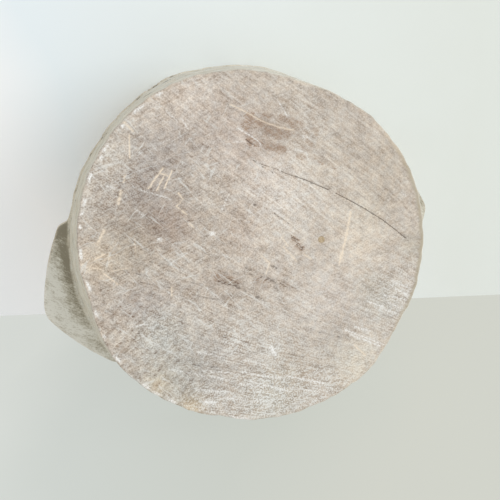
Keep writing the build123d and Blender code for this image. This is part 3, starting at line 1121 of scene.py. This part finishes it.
# %% Colours of the worn wood
WOOD_RAMP = [(0.0, 138, 123, 109), (0.28, 174, 162, 149), (0.5, 196, 186, 174),
             (0.72, 212, 204, 192), (1.0, 231, 224, 213)]
SIDE_RAMP = [(0.0, 154, 148, 129), (0.3, 197, 193, 177), (0.5, 216, 213, 199),
             (0.75, 227, 225, 213), (1.0, 238, 236, 227)]
OLD_BROWN = paint(196, 176, 161)  # multiplied into the wood
DEEP = paint(92, 77, 65)
# painted shade: the dark grey of the nicks, gouge marks and scored line
NICK_SHADE = paint(90, 86, 75)
FRESH = paint(240, 225, 203)
DUSTY = paint(229, 230, 225)
CHALKY = paint(244, 244, 240)
TAN = paint(207, 188, 160)
OLIVE = paint(169, 159, 137)
WARM = (1.02, 1.0, 0.975, 1)
COOL = (0.98, 1.0, 1.02, 1)
# tints of painted shade and painted light, for the sides' lower left and upper right
PAINTED_SHADE_TINT = (0.955, 0.93, 0.885, 1)
PAINTED_LIGHT_TINT = (1.07, 1.07, 1.08, 1)
DRY_SPECULAR = 0.25  # dry wood hardly shines
print("ramps of", len(WOOD_RAMP), "and", len(SIDE_RAMP), "tones")


# %% Wood of the sides
def side_wood(finish, nicks):
    """Grey-green wood of the hewn sides: faint level streaks and specks, painted light that makes them
    lighter towards the upper right and darker towards the lower left, and nicks painted dark as shade.
    """
    place = finish.place()
    streak = finish.noise(place, (18, 18, 1.1), 2.0)
    thread = finish.noise(place, (5, 5, 0.9), 1.0)
    cloud = finish.noise(place, (12, 12, 9), 2.0)
    speck = finish.noise(place, (1.3, 1.3, 1.1), 0.0)
    value = 0.5 + (streak - 0.5) * 0.9 + (thread - 0.5) * 0.5 + (cloud - 0.5) * 0.6 + (speck - 0.5) * 0.5
    colour = finish.ramp(value, *SIDE_RAMP)
    drift = finish.step(finish.noise(place, 9, 1.0), 0.35, 0.65)
    colour = finish.mix(1.0, colour, finish.mix(drift, COOL, WARM), "MULTIPLY")
    # painted light: the sides are lighter and cooler towards the upper right, darker and warmer towards
    # the lower left
    lit_side = finish.step(finish.reach(place, RIGHT + UP), -0.15, 0.15)
    colour = finish.mix(1.0, colour, finish.mix(lit_side, PAINTED_SHADE_TINT, PAINTED_LIGHT_TINT), "MULTIPLY")
    # painted shade: the nicks, gouge marks and scored line are painted dark grey, raggedly
    torn = finish.noise(place, (6, 6, 3), 3.0, 0.6)
    stain_and_shade = finish.step(nicks + (torn - 0.5) * 2.0 + (thread - 0.5) * 1.0, 0.36, 0.84)
    stain_and_shade = stain_and_shade * finish.step(nicks, 0.02, 0.4)
    return finish.mix(stain_and_shade * 0.86, colour, NICK_SHADE), value - stain_and_shade * 0.4


def hairlines(finish, vector, length, gap, share):
    """0 to 1 on long thin lines: where a stretched noise passes through its middle value."""
    wave = finish.noise(vector, (length, gap, 40), 1.0)
    line = finish.step(wave.math("ABSOLUTE", wave - 0.5), 0.16 / gap, 0.03 / gap)
    kept = finish.noise(vector, (length * 0.8, gap * 1.1, 30), 0.0)
    return line * finish.step(kept, share, share + 0.05)


HAIRLINES = [
    # rise of the lines in degrees, their length and the gap between them, and the share left out
    (-42, 40, 5.0, 0.56), (22, 30, 6.0, 0.60), (62, 26, 6.5, 0.62),
]
print("hairlines run in", len(HAIRLINES), "directions")


# %% The board's finish
def face_wood():
    """The board's finish: noises, tones, patches, strokes, bloom and the worn edge."""
    finish = Finish("weathered_base_wood")
    grain = finish.attribute("grain", "Vector")
    place = finish.place()
    fibrous, bloom, wear = finish.channels("masks")
    dark, cream, chalk = finish.channels("marks")
    face, brown, fine = finish.channels("zones")
    speck = finish.noise(place, 1.2, 0.0)
    fibre = finish.noise(grain, (20, 1.8, 1.8), 4.0, 0.74)
    athwart = finish.turned(place, radians(25) - LEAN_TURN)
    cross = finish.noise(athwart, (9, 1.8, 9), 3.0, 0.72)
    mottle = finish.noise(place, 8, 5.0, 0.62)
    patch = finish.noise(place, 24, 2.0)
    rough = (fibre - 0.5) * fibrous * 2.5 + (cross - 0.5) * (1 - fibrous) * 2.0 + (speck - 0.5) * 0.85
    value = 0.5 + rough * fine + (mottle - 0.5) * (0.2 + 0.7 * fine) + (patch - 0.5) * 0.5
    pale = 0.0
    for rise, length, gap, share in HAIRLINES:
        tilted = finish.turned(place, radians(rise) - LEAN_TURN)
        pale = hairlines(finish, tilted, length, gap, share) + pale
    pale = pale * finish.step(fine, 0.5, 0.8)
    slits = hairlines(finish, grain, 24, 3.2, 0.55)
    colour = finish.ramp(value - slits * 0.16 * fine, *WOOD_RAMP)
    drift = finish.step(finish.noise(place, 6, 2.0), 0.35, 0.65)
    colour = finish.mix(1.0, colour, finish.mix(drift, COOL, WARM), "MULTIPLY")
    halved = finish.attribute("tone", "Color")
    tone = finish.node("ShaderNodeVectorMath", {"operation": "SCALE"}, {0: halved, 3: TONE_SCALE})
    colour = finish.mix(1.0, colour, tone, "MULTIPLY")
    ragged = finish.step(brown + (fibre - 0.5) * 3.8 + (cross - 0.5) * 3.0 + (speck - 0.5), 0.44, 0.68)
    ragged = ragged * finish.step(brown, 0.02, 0.2)
    colour = finish.mix(ragged * 0.85, colour, OLD_BROWN, "MULTIPLY")
    dusty = bloom * finish.step((fibre + speck + cross) * 0.333, 0.46, 0.58)
    colour = finish.mix(dusty * 0.62, colour, DUSTY)
    colour = finish.mix(pale * 0.42, colour, DUSTY)
    torn = (fibre - 0.5) * 2.2 + (cross - 0.5) * 2.0 + (speck - 0.5) * 0.8
    # the dark strokes: real stains and dirt, and painted shade in the crack and the pits
    stain_and_shade = finish.step(dark + torn, 0.38, 0.72) * finish.step(dark, 0.02, 0.15)
    colour = finish.mix(stain_and_shade * 0.66, colour, DEEP)
    colour = finish.mix(cream * (0.55 + 0.45 * finish.step(cross, 0.40, 0.54)), colour, FRESH)
    colour = finish.mix(chalk * (0.45 + 0.55 * finish.step(speck, 0.4, 0.6)), colour, CHALKY)
    far_right = finish.step(finish.reach(place, RIGHT), 0.10, 0.14)
    worn = wear * finish.step(mottle + wear * 0.3, 0.45, 0.75) * (0.45 + 0.3 * far_right)
    colour = finish.mix(worn, colour, finish.mix(far_right, TAN, OLIVE))
    side_colour, _ = side_wood(finish, finish.attribute("nicks"))
    colour = finish.mix(face, side_colour, colour)
    finish.surface(colour, 0.95 - value * 0.2, DRY_SPECULAR)
    finish.bump(value * 0.8 - stain_and_shade * 0.4 + pale * 0.2, 0.3)
    return finish.material


board_piece.data.materials.append(face_wood())
print("the board wears", board_piece.data.materials[0].name)

# %% [markdown]
# ## The wall ring and its lugs
#
# Wall, rim and lugs were hewn from one block. The rim's outline runs round the ring and out over
# two lugs, each a blunt point with bowed flanks and small shoulders. Below them the wall slopes in
# to the base. The section is extruded ring after ring: up the outside, out along the underside
# of rim and lugs, over the rim and down into the cavity.

# %% The outline of rim and lugs
LUGS = [
    # angle on the face, tip, rounding of the tip, and one shoulder on each side of the lug's
    # line: how far along it and how far across, all in millimetres
    (200.3, 184.9, 24.0, (146.4, 68.6), (145.0, 63.5)),
    (8.5, 179.6, 12.0, (146.2, 58.0), (146.2, 58.0)),
]
FLANK_BOW = 3.4
SHOULDER_RUN = radians(3.5)
SHOULDER_FOOT = 140  # past its shoulders a lug's outline sinks to this radius, inside the rim
ROUNDING = 0.7  # degrees over which the corners are rounded off


def lug_radius(off, tip, tip_round, along, half_width):
    """Radius of a lug's outline, in millimetres, at angles off the lug's line."""
    share = np.linspace(0, 1, 60)
    apex = tip + tip_round / 15
    length = hypot(apex - along, half_width)
    bow = 4 * FLANK_BOW * share * (1 - share)
    x = apex - (apex - along) * share + bow * half_width / length
    y = half_width * share + bow * (apex - along) / length
    flank = np.interp(off, np.arctan2(y, x), np.hypot(x, y))
    middle = tip - tip_round
    circle = middle * np.cos(off) + np.sqrt(np.maximum(tip_round**2 - (middle * np.sin(off)) ** 2, 0))
    radius = np.where(off < 0.35 * tip_round / tip, np.minimum(flank, circle), flank)
    corner = atan2(half_width, along)
    beyond = soft(off, corner + SHOULDER_RUN, corner)
    sunk = SHOULDER_FOOT + (hypot(along, half_width) - SHOULDER_FOOT) * beyond
    return np.where(off < corner, radius, sunk)


def rim_table():
    """Angles all round and the rounded outline's radius at each, in metres."""
    angle = radians(0.25) * np.arange(1440) - pi
    radius = rim_round(angle)
    for direction, tip, tip_round, *shoulders in LUGS:
        off = off_line(angle, direction)
        for side, (along, half_width) in zip((-1, 1), shoulders):
            reach = lug_radius(np.abs(off), tip, tip_round, along, half_width) * MM
            radius = np.where(off * side >= 0, np.maximum(radius, reach), radius)
    reach = np.arange(-16, 17)
    weights = np.exp(-0.5 * (reach * 0.25 / ROUNDING) ** 2)
    rounded = sum(w * np.roll(radius, r) for r, w in zip(reach, weights / weights.sum()))
    return angle, rounded


RIM_ANGLES, RIM_RADII = rim_table()


def rim_edge(angle):
    """Radius of the outline of rim and lugs at an angle on the leaning face."""
    return np.interp(angle, RIM_ANGLES, RIM_RADII, period=2 * pi)


print("rim from", round(RIM_RADII.min(), 4), "to", round(RIM_RADII.max(), 4))

# %% Outlines that the section needs
TOP_ROUND = 3.0 * MM
UNDER_ROUND = 1.6 * MM


def cavity_radius(height):
    """Radius of the hollow at a height: it widens upwards, so that the butter slides out."""
    return RIM_RADIUS - RIM_WALL - (RIM_TOP - height) * sin(CAVITY_DRAFT)


def level(radius_at, height):
    """A ring at one height, whose radius is a function of the angle."""
    return lambda angle: (radius_at(angle), np.full_like(angle, height))


def steps(low, high, count):
    """Evenly spaced numbers after low, up to high."""
    return [low + (high - low) * (i + 1) / count for i in range(count)]


def between(inner, outer, share):
    """An outline that is a share of the way from one to another."""
    return lambda angle: inner(angle) + (outer(angle) - inner(angle)) * share


def inset(outline, amount):
    """An outline drawn in by an amount."""
    return lambda angle: outline(angle) - amount


def circle(radius):
    """A true circle as an outline."""
    return lambda angle: np.full_like(angle, radius)


def wall_at(height):
    """The hewn wall's outline at a height."""
    return lambda angle: wall_radius(angle, height)


under_edge = inset(rim_edge, UNDER_ROUND)
top_edge = inset(rim_edge, TOP_ROUND)
mouth = circle(cavity_radius(RIM_TOP) + TOP_ROUND)
quarter = [radians(a) for a in (30, 60, 90)]
print("the mouth has a radius of", round(cavity_radius(RIM_TOP), 4))

# %% The rings one after another: up the wall, out, up the rim, in, and down the hollow
WALL_RINGS, LEDGE_RINGS, BAND_RINGS, TOP_RINGS, CAVITY_RINGS = 30, 8, 7, 14, 34
ROUND_START = RIM_TOP - TOP_ROUND
section = [level(wall_at(h), h) for h in steps(BOARD_TOP, LUG_UNDERSIDE, WALL_RINGS)]
section += [level(between(wall_at(LUG_UNDERSIDE), under_edge, share), LUG_UNDERSIDE)
            for share in steps(0, 1, LEDGE_RINGS)]
section += [level(inset(rim_edge, UNDER_ROUND * (1 - sin(t))), LUG_UNDERSIDE + UNDER_ROUND * (1 - cos(t)))
            for t in quarter]
section += [level(rim_edge, h) for h in steps(LUG_UNDERSIDE + UNDER_ROUND, ROUND_START, BAND_RINGS)]
section += [level(inset(rim_edge, TOP_ROUND * (1 - cos(t))), RIM_TOP - TOP_ROUND * (1 - sin(t)))
            for t in quarter]
section += [level(between(top_edge, mouth, share), RIM_TOP) for share in steps(0, 1, TOP_RINGS)]
section += [level(inset(mouth, TOP_ROUND * sin(t)), RIM_TOP - TOP_ROUND * (1 - cos(t))) for t in quarter]
section += [level(circle(cavity_radius(h)), h) for h in steps(ROUND_START, BOARD_TOP, CAVITY_RINGS)]
print("the section has", len(section), "rings")

# %% Extrude the ring and close it below
AROUND_STEPS = 720
walls = bmesh.new()
bmesh.ops.create_circle(walls, segments=AROUND_STEPS, radius=1)
first = list(walls.edges)
for vertex in walls.verts:
    angle = np.array([seen_angle(vertex.co)])
    vertex.co = (*(vertex.co.xy.normalized() * wall_radius(angle, BOARD_TOP)[0]), BOARD_TOP)
last = extrude_rings(walls, first, section)
bmesh.ops.bridge_loops(walls, edges=first + last)
print("ring:", len(walls.faces), "faces, open edges:", len(open_edges(walls)))

# %% [markdown]
# ### Tool work on the ring
#
# Outside, the wall was hewn with broad, nearly flat cuts, and a scored line runs round it, worn
# away in places. Inside, the gouge left upright scallops. Small nicks break the rim's edges.

# %% Where the ring is scored and nicked
SCORE_HEIGHT = 60 * MM
SCORE_HALF = 1.2 * MM
SCORE_DEPTH = 1.3 * MM
RIM_NICKS = [
    # angle on the face and half length, both in degrees
    (117, 3.0), (121, 2.2), (135.5, 2.0), (143, 2.5), (163, 1.4), (167, 1.6), (178, 1.5),
    (322, 2.2), (330, 1.6), (337, 2.4), (345, 1.8), (100, 1.2), (60, 1.0), (270, 1.3),
]


def nicked(angle):
    """0 to 1 in the nicks of the rim's edge."""
    cover = np.zeros(len(angle))
    for middle, half_length in RIM_NICKS:
        off = np.abs(off_line(angle, middle))
        cover = np.maximum(cover, soft(off, radians(half_length), radians(half_length * 0.3)))
    return cover


def scored(co, angle):
    """0 to 1 in the scored line, which fades in and out round the wall."""
    height = co[:, 2] + lumps(co, 30 * MM, 11) * 0.9 * MM
    presence = 0.35 + 0.65 * soft(lumps(co, 24 * MM, 12), -0.2, 0.25)
    return soft(np.abs(height - SCORE_HEIGHT), SCORE_HALF, 0.3 * SCORE_HALF) * presence


print("the scored line runs", SCORE_HEIGHT, "m above the base")

# %% Push the ring's vertices
FACET_DEPTH, FACET_MEAN = 0.9 * MM, 0.3 * MM
SCALLOP_DEPTH, SCALLOP_MEAN, SCALLOPS = 0.8 * MM, 0.4 * MM, 34
MARK_DEPTH, NICK_DEPTH, SHAKE = 0.8 * MM, 1.3 * MM, 0.3 * MM
WALL_INNER, WALL_OUTER = RIM_RADIUS - 0.8 * RIM_WALL, RIM_RADIUS - 0.6 * RIM_WALL
LEDGE_LOW, LEDGE_HIGH = LUG_UNDERSIDE - 1 * MM, LUG_UNDERSIDE + 1 * MM

co = spots_of(walls)
angle, radius = around(co), np.hypot(co[:, 0], co[:, 1])
outside = soft(radius, WALL_INNER, WALL_OUTER)
arc = np.stack([angle * 8, co[:, 2] * 45, np.zeros(len(co))], axis=1)
facets = np.abs(lumps(arc, 1.0, 13)) * FACET_DEPTH
scallops = np.abs(np.sin(angle * SCALLOPS + 2 * lumps(co, 60 * MM, 14))) * SCALLOP_DEPTH
push = outside * (FACET_MEAN - facets - SCORE_DEPTH * scored(co, angle))
push += (1 - outside) * (SCALLOP_MEAN - scallops) * soft(co[:, 2], RIM_TOP, RIM_TOP - 6 * MM)
edge_zone = soft(co[:, 2], LEDGE_LOW, LEDGE_HIGH) * outside
push -= MARK_DEPTH * side_marks(angle, co[:, 2]) * outside
push -= NICK_DEPTH * nicked(angle) * edge_zone * soft(lumps(co, 4 * MM, 15), -0.3, 0.4)
shake = np.stack([lumps(co, 22 * MM, seed) for seed in (21, 22, 23)], axis=1) * SHAKE
loose = soft(co[:, 2], BOARD_TOP, BOARD_TOP + 2 * MM)[:, None]
co += shake * loose + co * np.array([1, 1, 0]) / radius[:, None] * push[:, None] * loose
co[:, 2] = np.clip(co[:, 2], BOARD_TOP, RIM_TOP)
for vertex, place in zip(walls.verts, co):
    vertex.co = place
ring_piece = finished(walls, "hewn_wall_ring", "case", "mold")

# %% [markdown]
# ### Paint on the ring
#
# Zones tell the hollow, the underside of rim and lugs and the painted shade at their roots apart:
# butter fed the hollow, hands rubbed the rim, and the roots next to the wall are painted darker as
# shade, more towards the top of the face and less on the right lug. The rubbed rim is painted
# lighter, as wear and as a painted highlight.

# %% Paint the ring
co = points_of(ring_piece.data)
right, up = seen_from_front(co)
angle, radius = around(co), np.hypot(co[:, 0], co[:, 1])
inside = soft(radius, WALL_OUTER, WALL_INNER)
on_edge = soft(co[:, 2], LEDGE_LOW, LEDGE_HIGH) * (1 - inside)
# wear by hands and a painted highlight: the rim's outer band and rounded edges
rim_wear_and_highlight = soft(rim_edge(angle) - radius, 2.6 * MM, 0.6 * MM) * on_edge
past_wall = radius - wall_radius(angle, LUG_UNDERSIDE)
ledge = soft(past_wall, 0.5 * MM, 2.5 * MM)
ledge *= soft(co[:, 2], LUG_UNDERSIDE + 4 * MM, LUG_UNDERSIDE + 1.5 * MM)
# painted shade: the underside darkens next to the wall's root, more towards the top of the face and less
# on the right lug
root_shade = soft(past_wall, 18 * MM, 0) * (0.35 + 0.65 * soft(up, -80, -50))
root_shade = ledge * (root_shade + 0.7 * soft(up, -25, 15)) * (0.6 + 0.4 * soft(right, 80, 0))
lip = soft(np.abs(co[:, 2] - LUG_UNDERSIDE - 2 * MM), 6 * MM, 2 * MM)
# the nicks, gouge marks and scored line, which the finish paints dark as shade
nicks = np.maximum(side_marks(angle, co[:, 2]), 0.4 * nicked(angle) * lip) * (1 - inside)
nicks = np.maximum(nicks, 0.55 * scored(co, angle) * (1 - inside))
painted(ring_piece.data, "zones", inside, ledge, np.clip(root_shade, 0, 1))
painted(ring_piece.data, "masks", rim_wear_and_highlight, nicks, 0)
grained(ring_piece.data)
print("worn, sooty and nicked vertices:", [int((m > 0.5).sum()) for m in (rim_wear_and_highlight, root_shade, nicks)])


# %% The ring's finish
# colours of the underside; its darker end is reached through the painted shade at the lugs' roots
UNDERSIDE_SHADE_RAMP = [(0.1, 146, 140, 122), (0.3, 178, 173, 156), (0.5, 208, 205, 191), (0.7, 230, 229, 218)]
FED_RAMP = [(0.2, 124, 97, 66), (0.5, 163, 137, 101), (0.8, 192, 170, 136)]


def ring_wood():
    """The ring's finish: grey-green outside, painted shade under the lugs by the wall, browner where
    butter kept it fed.
    """
    finish = Finish("weathered_ring_wood")
    inside, ledge, root_shade = finish.channels("zones")
    worn, nicks, _ = finish.channels("masks")
    colour, value = side_wood(finish, nicks)
    grain = finish.attribute("grain", "Vector")
    place = finish.place()
    speck = finish.noise(place, 1.3, 0.0)
    fleck = finish.noise(grain, (3.4, 1.0, 1.0), 1.0)
    streak = finish.noise(grain, (22, 2.2, 2.2), 2.0)
    cloud = finish.noise(grain, (11, 8, 8), 2.0)
    rough = 0.5 + (fleck - 0.5) * 0.6 + (streak - 0.5) * 0.5
    rough = rough + (cloud - 0.5) * 0.7 + (speck - 0.5) * 0.35
    # painted shade: the underside is darkened towards the lugs' roots next to the wall
    shaded = finish.ramp(rough + 0.17 - root_shade * 0.62, *UNDERSIDE_SHADE_RAMP)
    colour = finish.mix(ledge, colour, shaded)
    length = finish.noise(place, (30, 1.8, 1.8), 4.0, 0.6)
    smear = finish.noise(place, (16, 16, 26), 3.0)
    fed = finish.ramp(0.5 + (length - 0.5) * 1.4 + (smear - 0.5) * 1.1, *FED_RAMP)
    colour = finish.mix(inside, colour, fed)
    # the rim's outer band is painted lighter tan, as wear and as a painted highlight
    colour = finish.mix(worn * finish.step(speck, 0.42, 0.62) * 0.5, colour, paint(205, 190, 164))
    finish.surface(colour, 0.92 - rough * 0.2, DRY_SPECULAR)
    finish.bump(finish.mix(ledge, value, rough), 0.35)
    return finish.material


ring_piece.data.materials.append(ring_wood())
print("the ring wears", ring_piece.data.materials[0].name)

# %% [markdown]
# ## The print board
#
# The print is a loose disc with a rosette cut into it: six petals with leaves between them, two
# rings and a border of flutes, which stamp the butter. The petals are V cuts, made by two slanting
# strokes of a gouge that meet in a keel.

# %% The carving as a depth over the disc, in millimetres
PETALS, PETAL_DEPTH = 6, 4.5
PETAL = (8.5, 72.0, 11.5, PETAL_DEPTH)  # start, reach, half width and depth
LEAF = (34.0, 68.0, 6.0, 2.6)
RINGS, RING_HALF, RING_DEPTH = (78.0, 84.0), 1.5, 1.6
FLUTES, FLUTE_LENGTH, FLUTE_HALF, FLUTE_DEPTH, FLUTE_RIM = 36, 26.0, 6.0, 3.0, 7.0
BOSS_RADIUS, BOSS_DEPTH = 5.0, 2.0
LEAST_WIDTH = 1e-6  # keeps a cut's width above nothing where it is divided by


def v_cut(off, width):
    """1 in the keel of a V cut and 0 at its edges."""
    return np.clip(1 - np.abs(off) / width, 0, 1)


def lens_cut(radius, angle, start, reach, half_width, depth):
    """Depth of a V cut with a pointed, bowed outline, at a distance and angle off its line."""
    share = np.clip((radius * np.cos(angle) - start) / (reach - start), 0, 1)
    width = half_width * np.sin(pi * share) ** 0.8 + LEAST_WIDTH
    return depth * v_cut(radius * np.sin(angle), width) * width / half_width


def folded(angle, count, offset=0.0):
    """The angle off the nearest of a number of evenly spread lines."""
    pitch = 2 * pi / count
    return (angle - offset + pitch / 2) % pitch - pitch / 2


def carving(x, y):
    """How deep the print is cut at a place, in millimetres."""
    radius, angle = np.hypot(x, y), np.arctan2(y, x)
    outer = PRINT_RADIUS / MM - FLUTE_RIM
    share = np.clip((radius - outer + FLUTE_LENGTH) / FLUTE_LENGTH, 0, 1) * (radius < outer)
    flute = v_cut(radius * np.sin(folded(angle, FLUTES)), FLUTE_HALF * share + LEAST_WIDTH)
    cuts = [lens_cut(radius, folded(angle, PETALS), *PETAL),
            lens_cut(radius, folded(angle, PETALS, pi / PETALS), *LEAF),
            FLUTE_DEPTH * share * flute,
            BOSS_DEPTH * np.sqrt(np.clip(1 - (radius / BOSS_RADIUS) ** 2, 0, 1))]
    cuts += [RING_DEPTH * v_cut(radius - ring_radius, RING_HALF) for ring_radius in RINGS]
    return np.maximum.reduce(cuts)


print("a petal is cut", round(carving(np.array([40.0]), np.array([0.0]))[0], 2), "mm deep halfway")

# %% Build the print
PRINT_CELLS = 250
PRINT_BREAK = 1.0 * MM
PRINT_SIDE_RINGS = 6
print_mesh = bmesh.new()
even_disc(print_mesh, PRINT_CELLS)
bmesh.ops.scale(print_mesh, verts=print_mesh.verts, vec=(PRINT_RADIUS - PRINT_BREAK,) * 3)
bmesh.ops.translate(print_mesh, verts=print_mesh.verts, vec=(0, 0, PRINT_TOP))
edge = circle(PRINT_RADIUS)
print_rings = [level(inset(edge, PRINT_BREAK * (1 - sin(t))), PRINT_TOP - PRINT_BREAK * (1 - cos(t)))
               for t in quarter]
print_rings += [level(edge, h)
                for h in steps(PRINT_TOP - PRINT_BREAK, BOARD_TOP + PRINT_BREAK, PRINT_SIDE_RINGS)]
print_rings += [level(inset(edge, PRINT_BREAK), BOARD_TOP)]
print_rings += [level(inset(edge, PRINT_RADIUS * share), BOARD_TOP) for share in (0.2, 0.5, 0.8)]
close_middle(print_mesh, extrude_rings(print_mesh, open_edges(print_mesh), print_rings), BOARD_TOP)
print("print blank:", len(print_mesh.faces), "faces")

# %% Carve it
WORN_MEAN, WORN_SWING, WORN_FIBRE = 0.15, 0.12, 0.05  # wear of the upper side, in millimetres
HAND = 0.5  # millimetres that the cuts stray from true lines

co = spots_of(print_mesh)
upper = co[:, 2] > PRINT_TOP - ON_PLANE
worn = WORN_MEAN + WORN_SWING * lumps(co, 18 * MM, 31)
worn += WORN_FIBRE * lumps(co * np.array([0.15, 1, 1]), 3 * MM, 32)
stray_x, stray_y = HAND * lumps(co, 20 * MM, 33), HAND * lumps(co, 20 * MM, 34)
cut = carving(co[:, 0] / MM + stray_x, co[:, 1] / MM + stray_y)
for vertex, is_upper, depth in zip(print_mesh.verts, upper, (worn + cut) * MM):
    if is_upper:
        vertex.co.z -= depth
print_piece = finished(print_mesh, "carved_print_board", "print_board", "print")
painted(print_piece.data, "zones", np.where(upper, np.clip(cut / PETAL_DEPTH, 0, 1), 0))
print("deepest cut:", round(cut[upper].max(), 2), "mm")


# %% The print's finish
BUTTERED_RAMP = [(0.15, 118, 84, 50), (0.4, 152, 117, 77), (0.55, 174, 141, 99), (0.8, 196, 166, 124),
                 (1.0, 211, 184, 145)]


def print_wood():
    """Dense wood, honey brown from years of butter, with painted shade darkening the cuts."""
    finish = Finish("butter_fed_print_wood")
    place = finish.place()
    cut, _, _ = finish.channels("zones")
    warp = finish.noise(place, (90, 40, 40), 2.0)
    rings = finish.noise(place, (240, 7, 30), 3.0)
    fibre = finish.noise(place, (14, 0.9, 1.4), 3.0, 0.6)
    fleck = finish.noise(place, (5, 1.1, 1.1), 1.0)
    value = 0.5 + (rings - 0.5) * 0.8 + (warp - 0.5) * 0.5 + (fibre - 0.5) * 0.7
    colour = finish.ramp(value, *BUTTERED_RAMP)
    colour = finish.mix(finish.step(fleck, 0.66, 0.74) * 0.5, colour, paint(110, 76, 46))
    # painted shade: the cuts are painted darker, the deeper the darker
    colour = finish.mix(finish.step(cut, 0.1, 0.9) * 0.55, colour, paint(104, 74, 45))
    worn = finish.step(cut, 0.1, 0.0) * finish.step(warp, 0.45, 0.65)
    colour = finish.mix(worn * 0.35, colour, paint(213, 189, 152))
    finish.surface(colour, 0.62 - value * 0.22 + cut * 0.15, specular=0.4)
    finish.bump(value, 0.18)
    return finish.material


print_piece.data.materials.append(print_wood())
print("the print wears", print_piece.data.materials[0].name)

# %% [markdown]
# ## Plug and tenons
#
# The plug is a whittled peg, so its face shows end grain in ochre, and a hair-thin gap runs
# round it. The loose tenons are riven from straight wood and stay hidden in their mortises. Both
# keep the frame's own shapes: new meshes would only repeat them, so they get a material alone.

# %% End grain of the plug
def end_grain(name, axis_place, dark, light):
    """End grain: fine rings round an axis, with pores."""
    finish = Finish(name)
    place = finish.place()
    centred = finish.node("ShaderNodeVectorMath", {"operation": "SUBTRACT"}, {0: place, 1: axis_place})
    wave_settings = {"wave_type": "RINGS", "rings_direction": "Z"}
    wave_inputs = {"Vector": centred, "Scale": 300.0, "Distortion": 3.0}
    waves = finish.node("ShaderNodeTexWave", wave_settings, wave_inputs, "Fac")
    pores = finish.noise(place, (0.5, 0.5, 4), 2.0)
    cloud = finish.noise(place, (2.2, 2.2, 8), 2.0)
    value = 0.4 + waves * 0.2 + (pores - 0.5) * 0.6 + (cloud - 0.5) * 0.8
    finish.surface(finish.ramp(value, (0.25, *dark), (0.75, *light)), 0.85, DRY_SPECULAR)
    finish.bump(value, 0.12)
    return finish.material


plug_finish = end_grain("plug_end_grain", plug_centre, (154, 133, 104), (204, 187, 158))
print("made", plug_finish.name)


# %% Riven wood of the tenons, and both put on
def riven_wood(name, dark, light):
    """Straight-split wood with fibres along the height."""
    finish = Finish(name)
    place = finish.place()
    fibre = finish.noise(place, (1.2, 1.2, 30), 3.0)
    cloud = finish.noise(place, (12, 12, 40), 2.0)
    value = 0.5 + (fibre - 0.5) * 1.1 + (cloud - 0.5) * 0.6
    finish.surface(finish.ramp(value, (0.2, *dark), (0.8, *light)), 0.85)
    finish.bump(value, 0.2)
    return finish.material


def dress(node, material):
    """Gives a node of the frame a material in each of its slots."""
    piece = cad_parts[node]
    for slot in piece.material_slots:
        slot.material = material
    lit.objects.link(piece)


dress("hole_plug", plug_finish)
dress("tenons", riven_wood("riven_tenon_wood", (150, 118, 80), (205, 174, 130)))
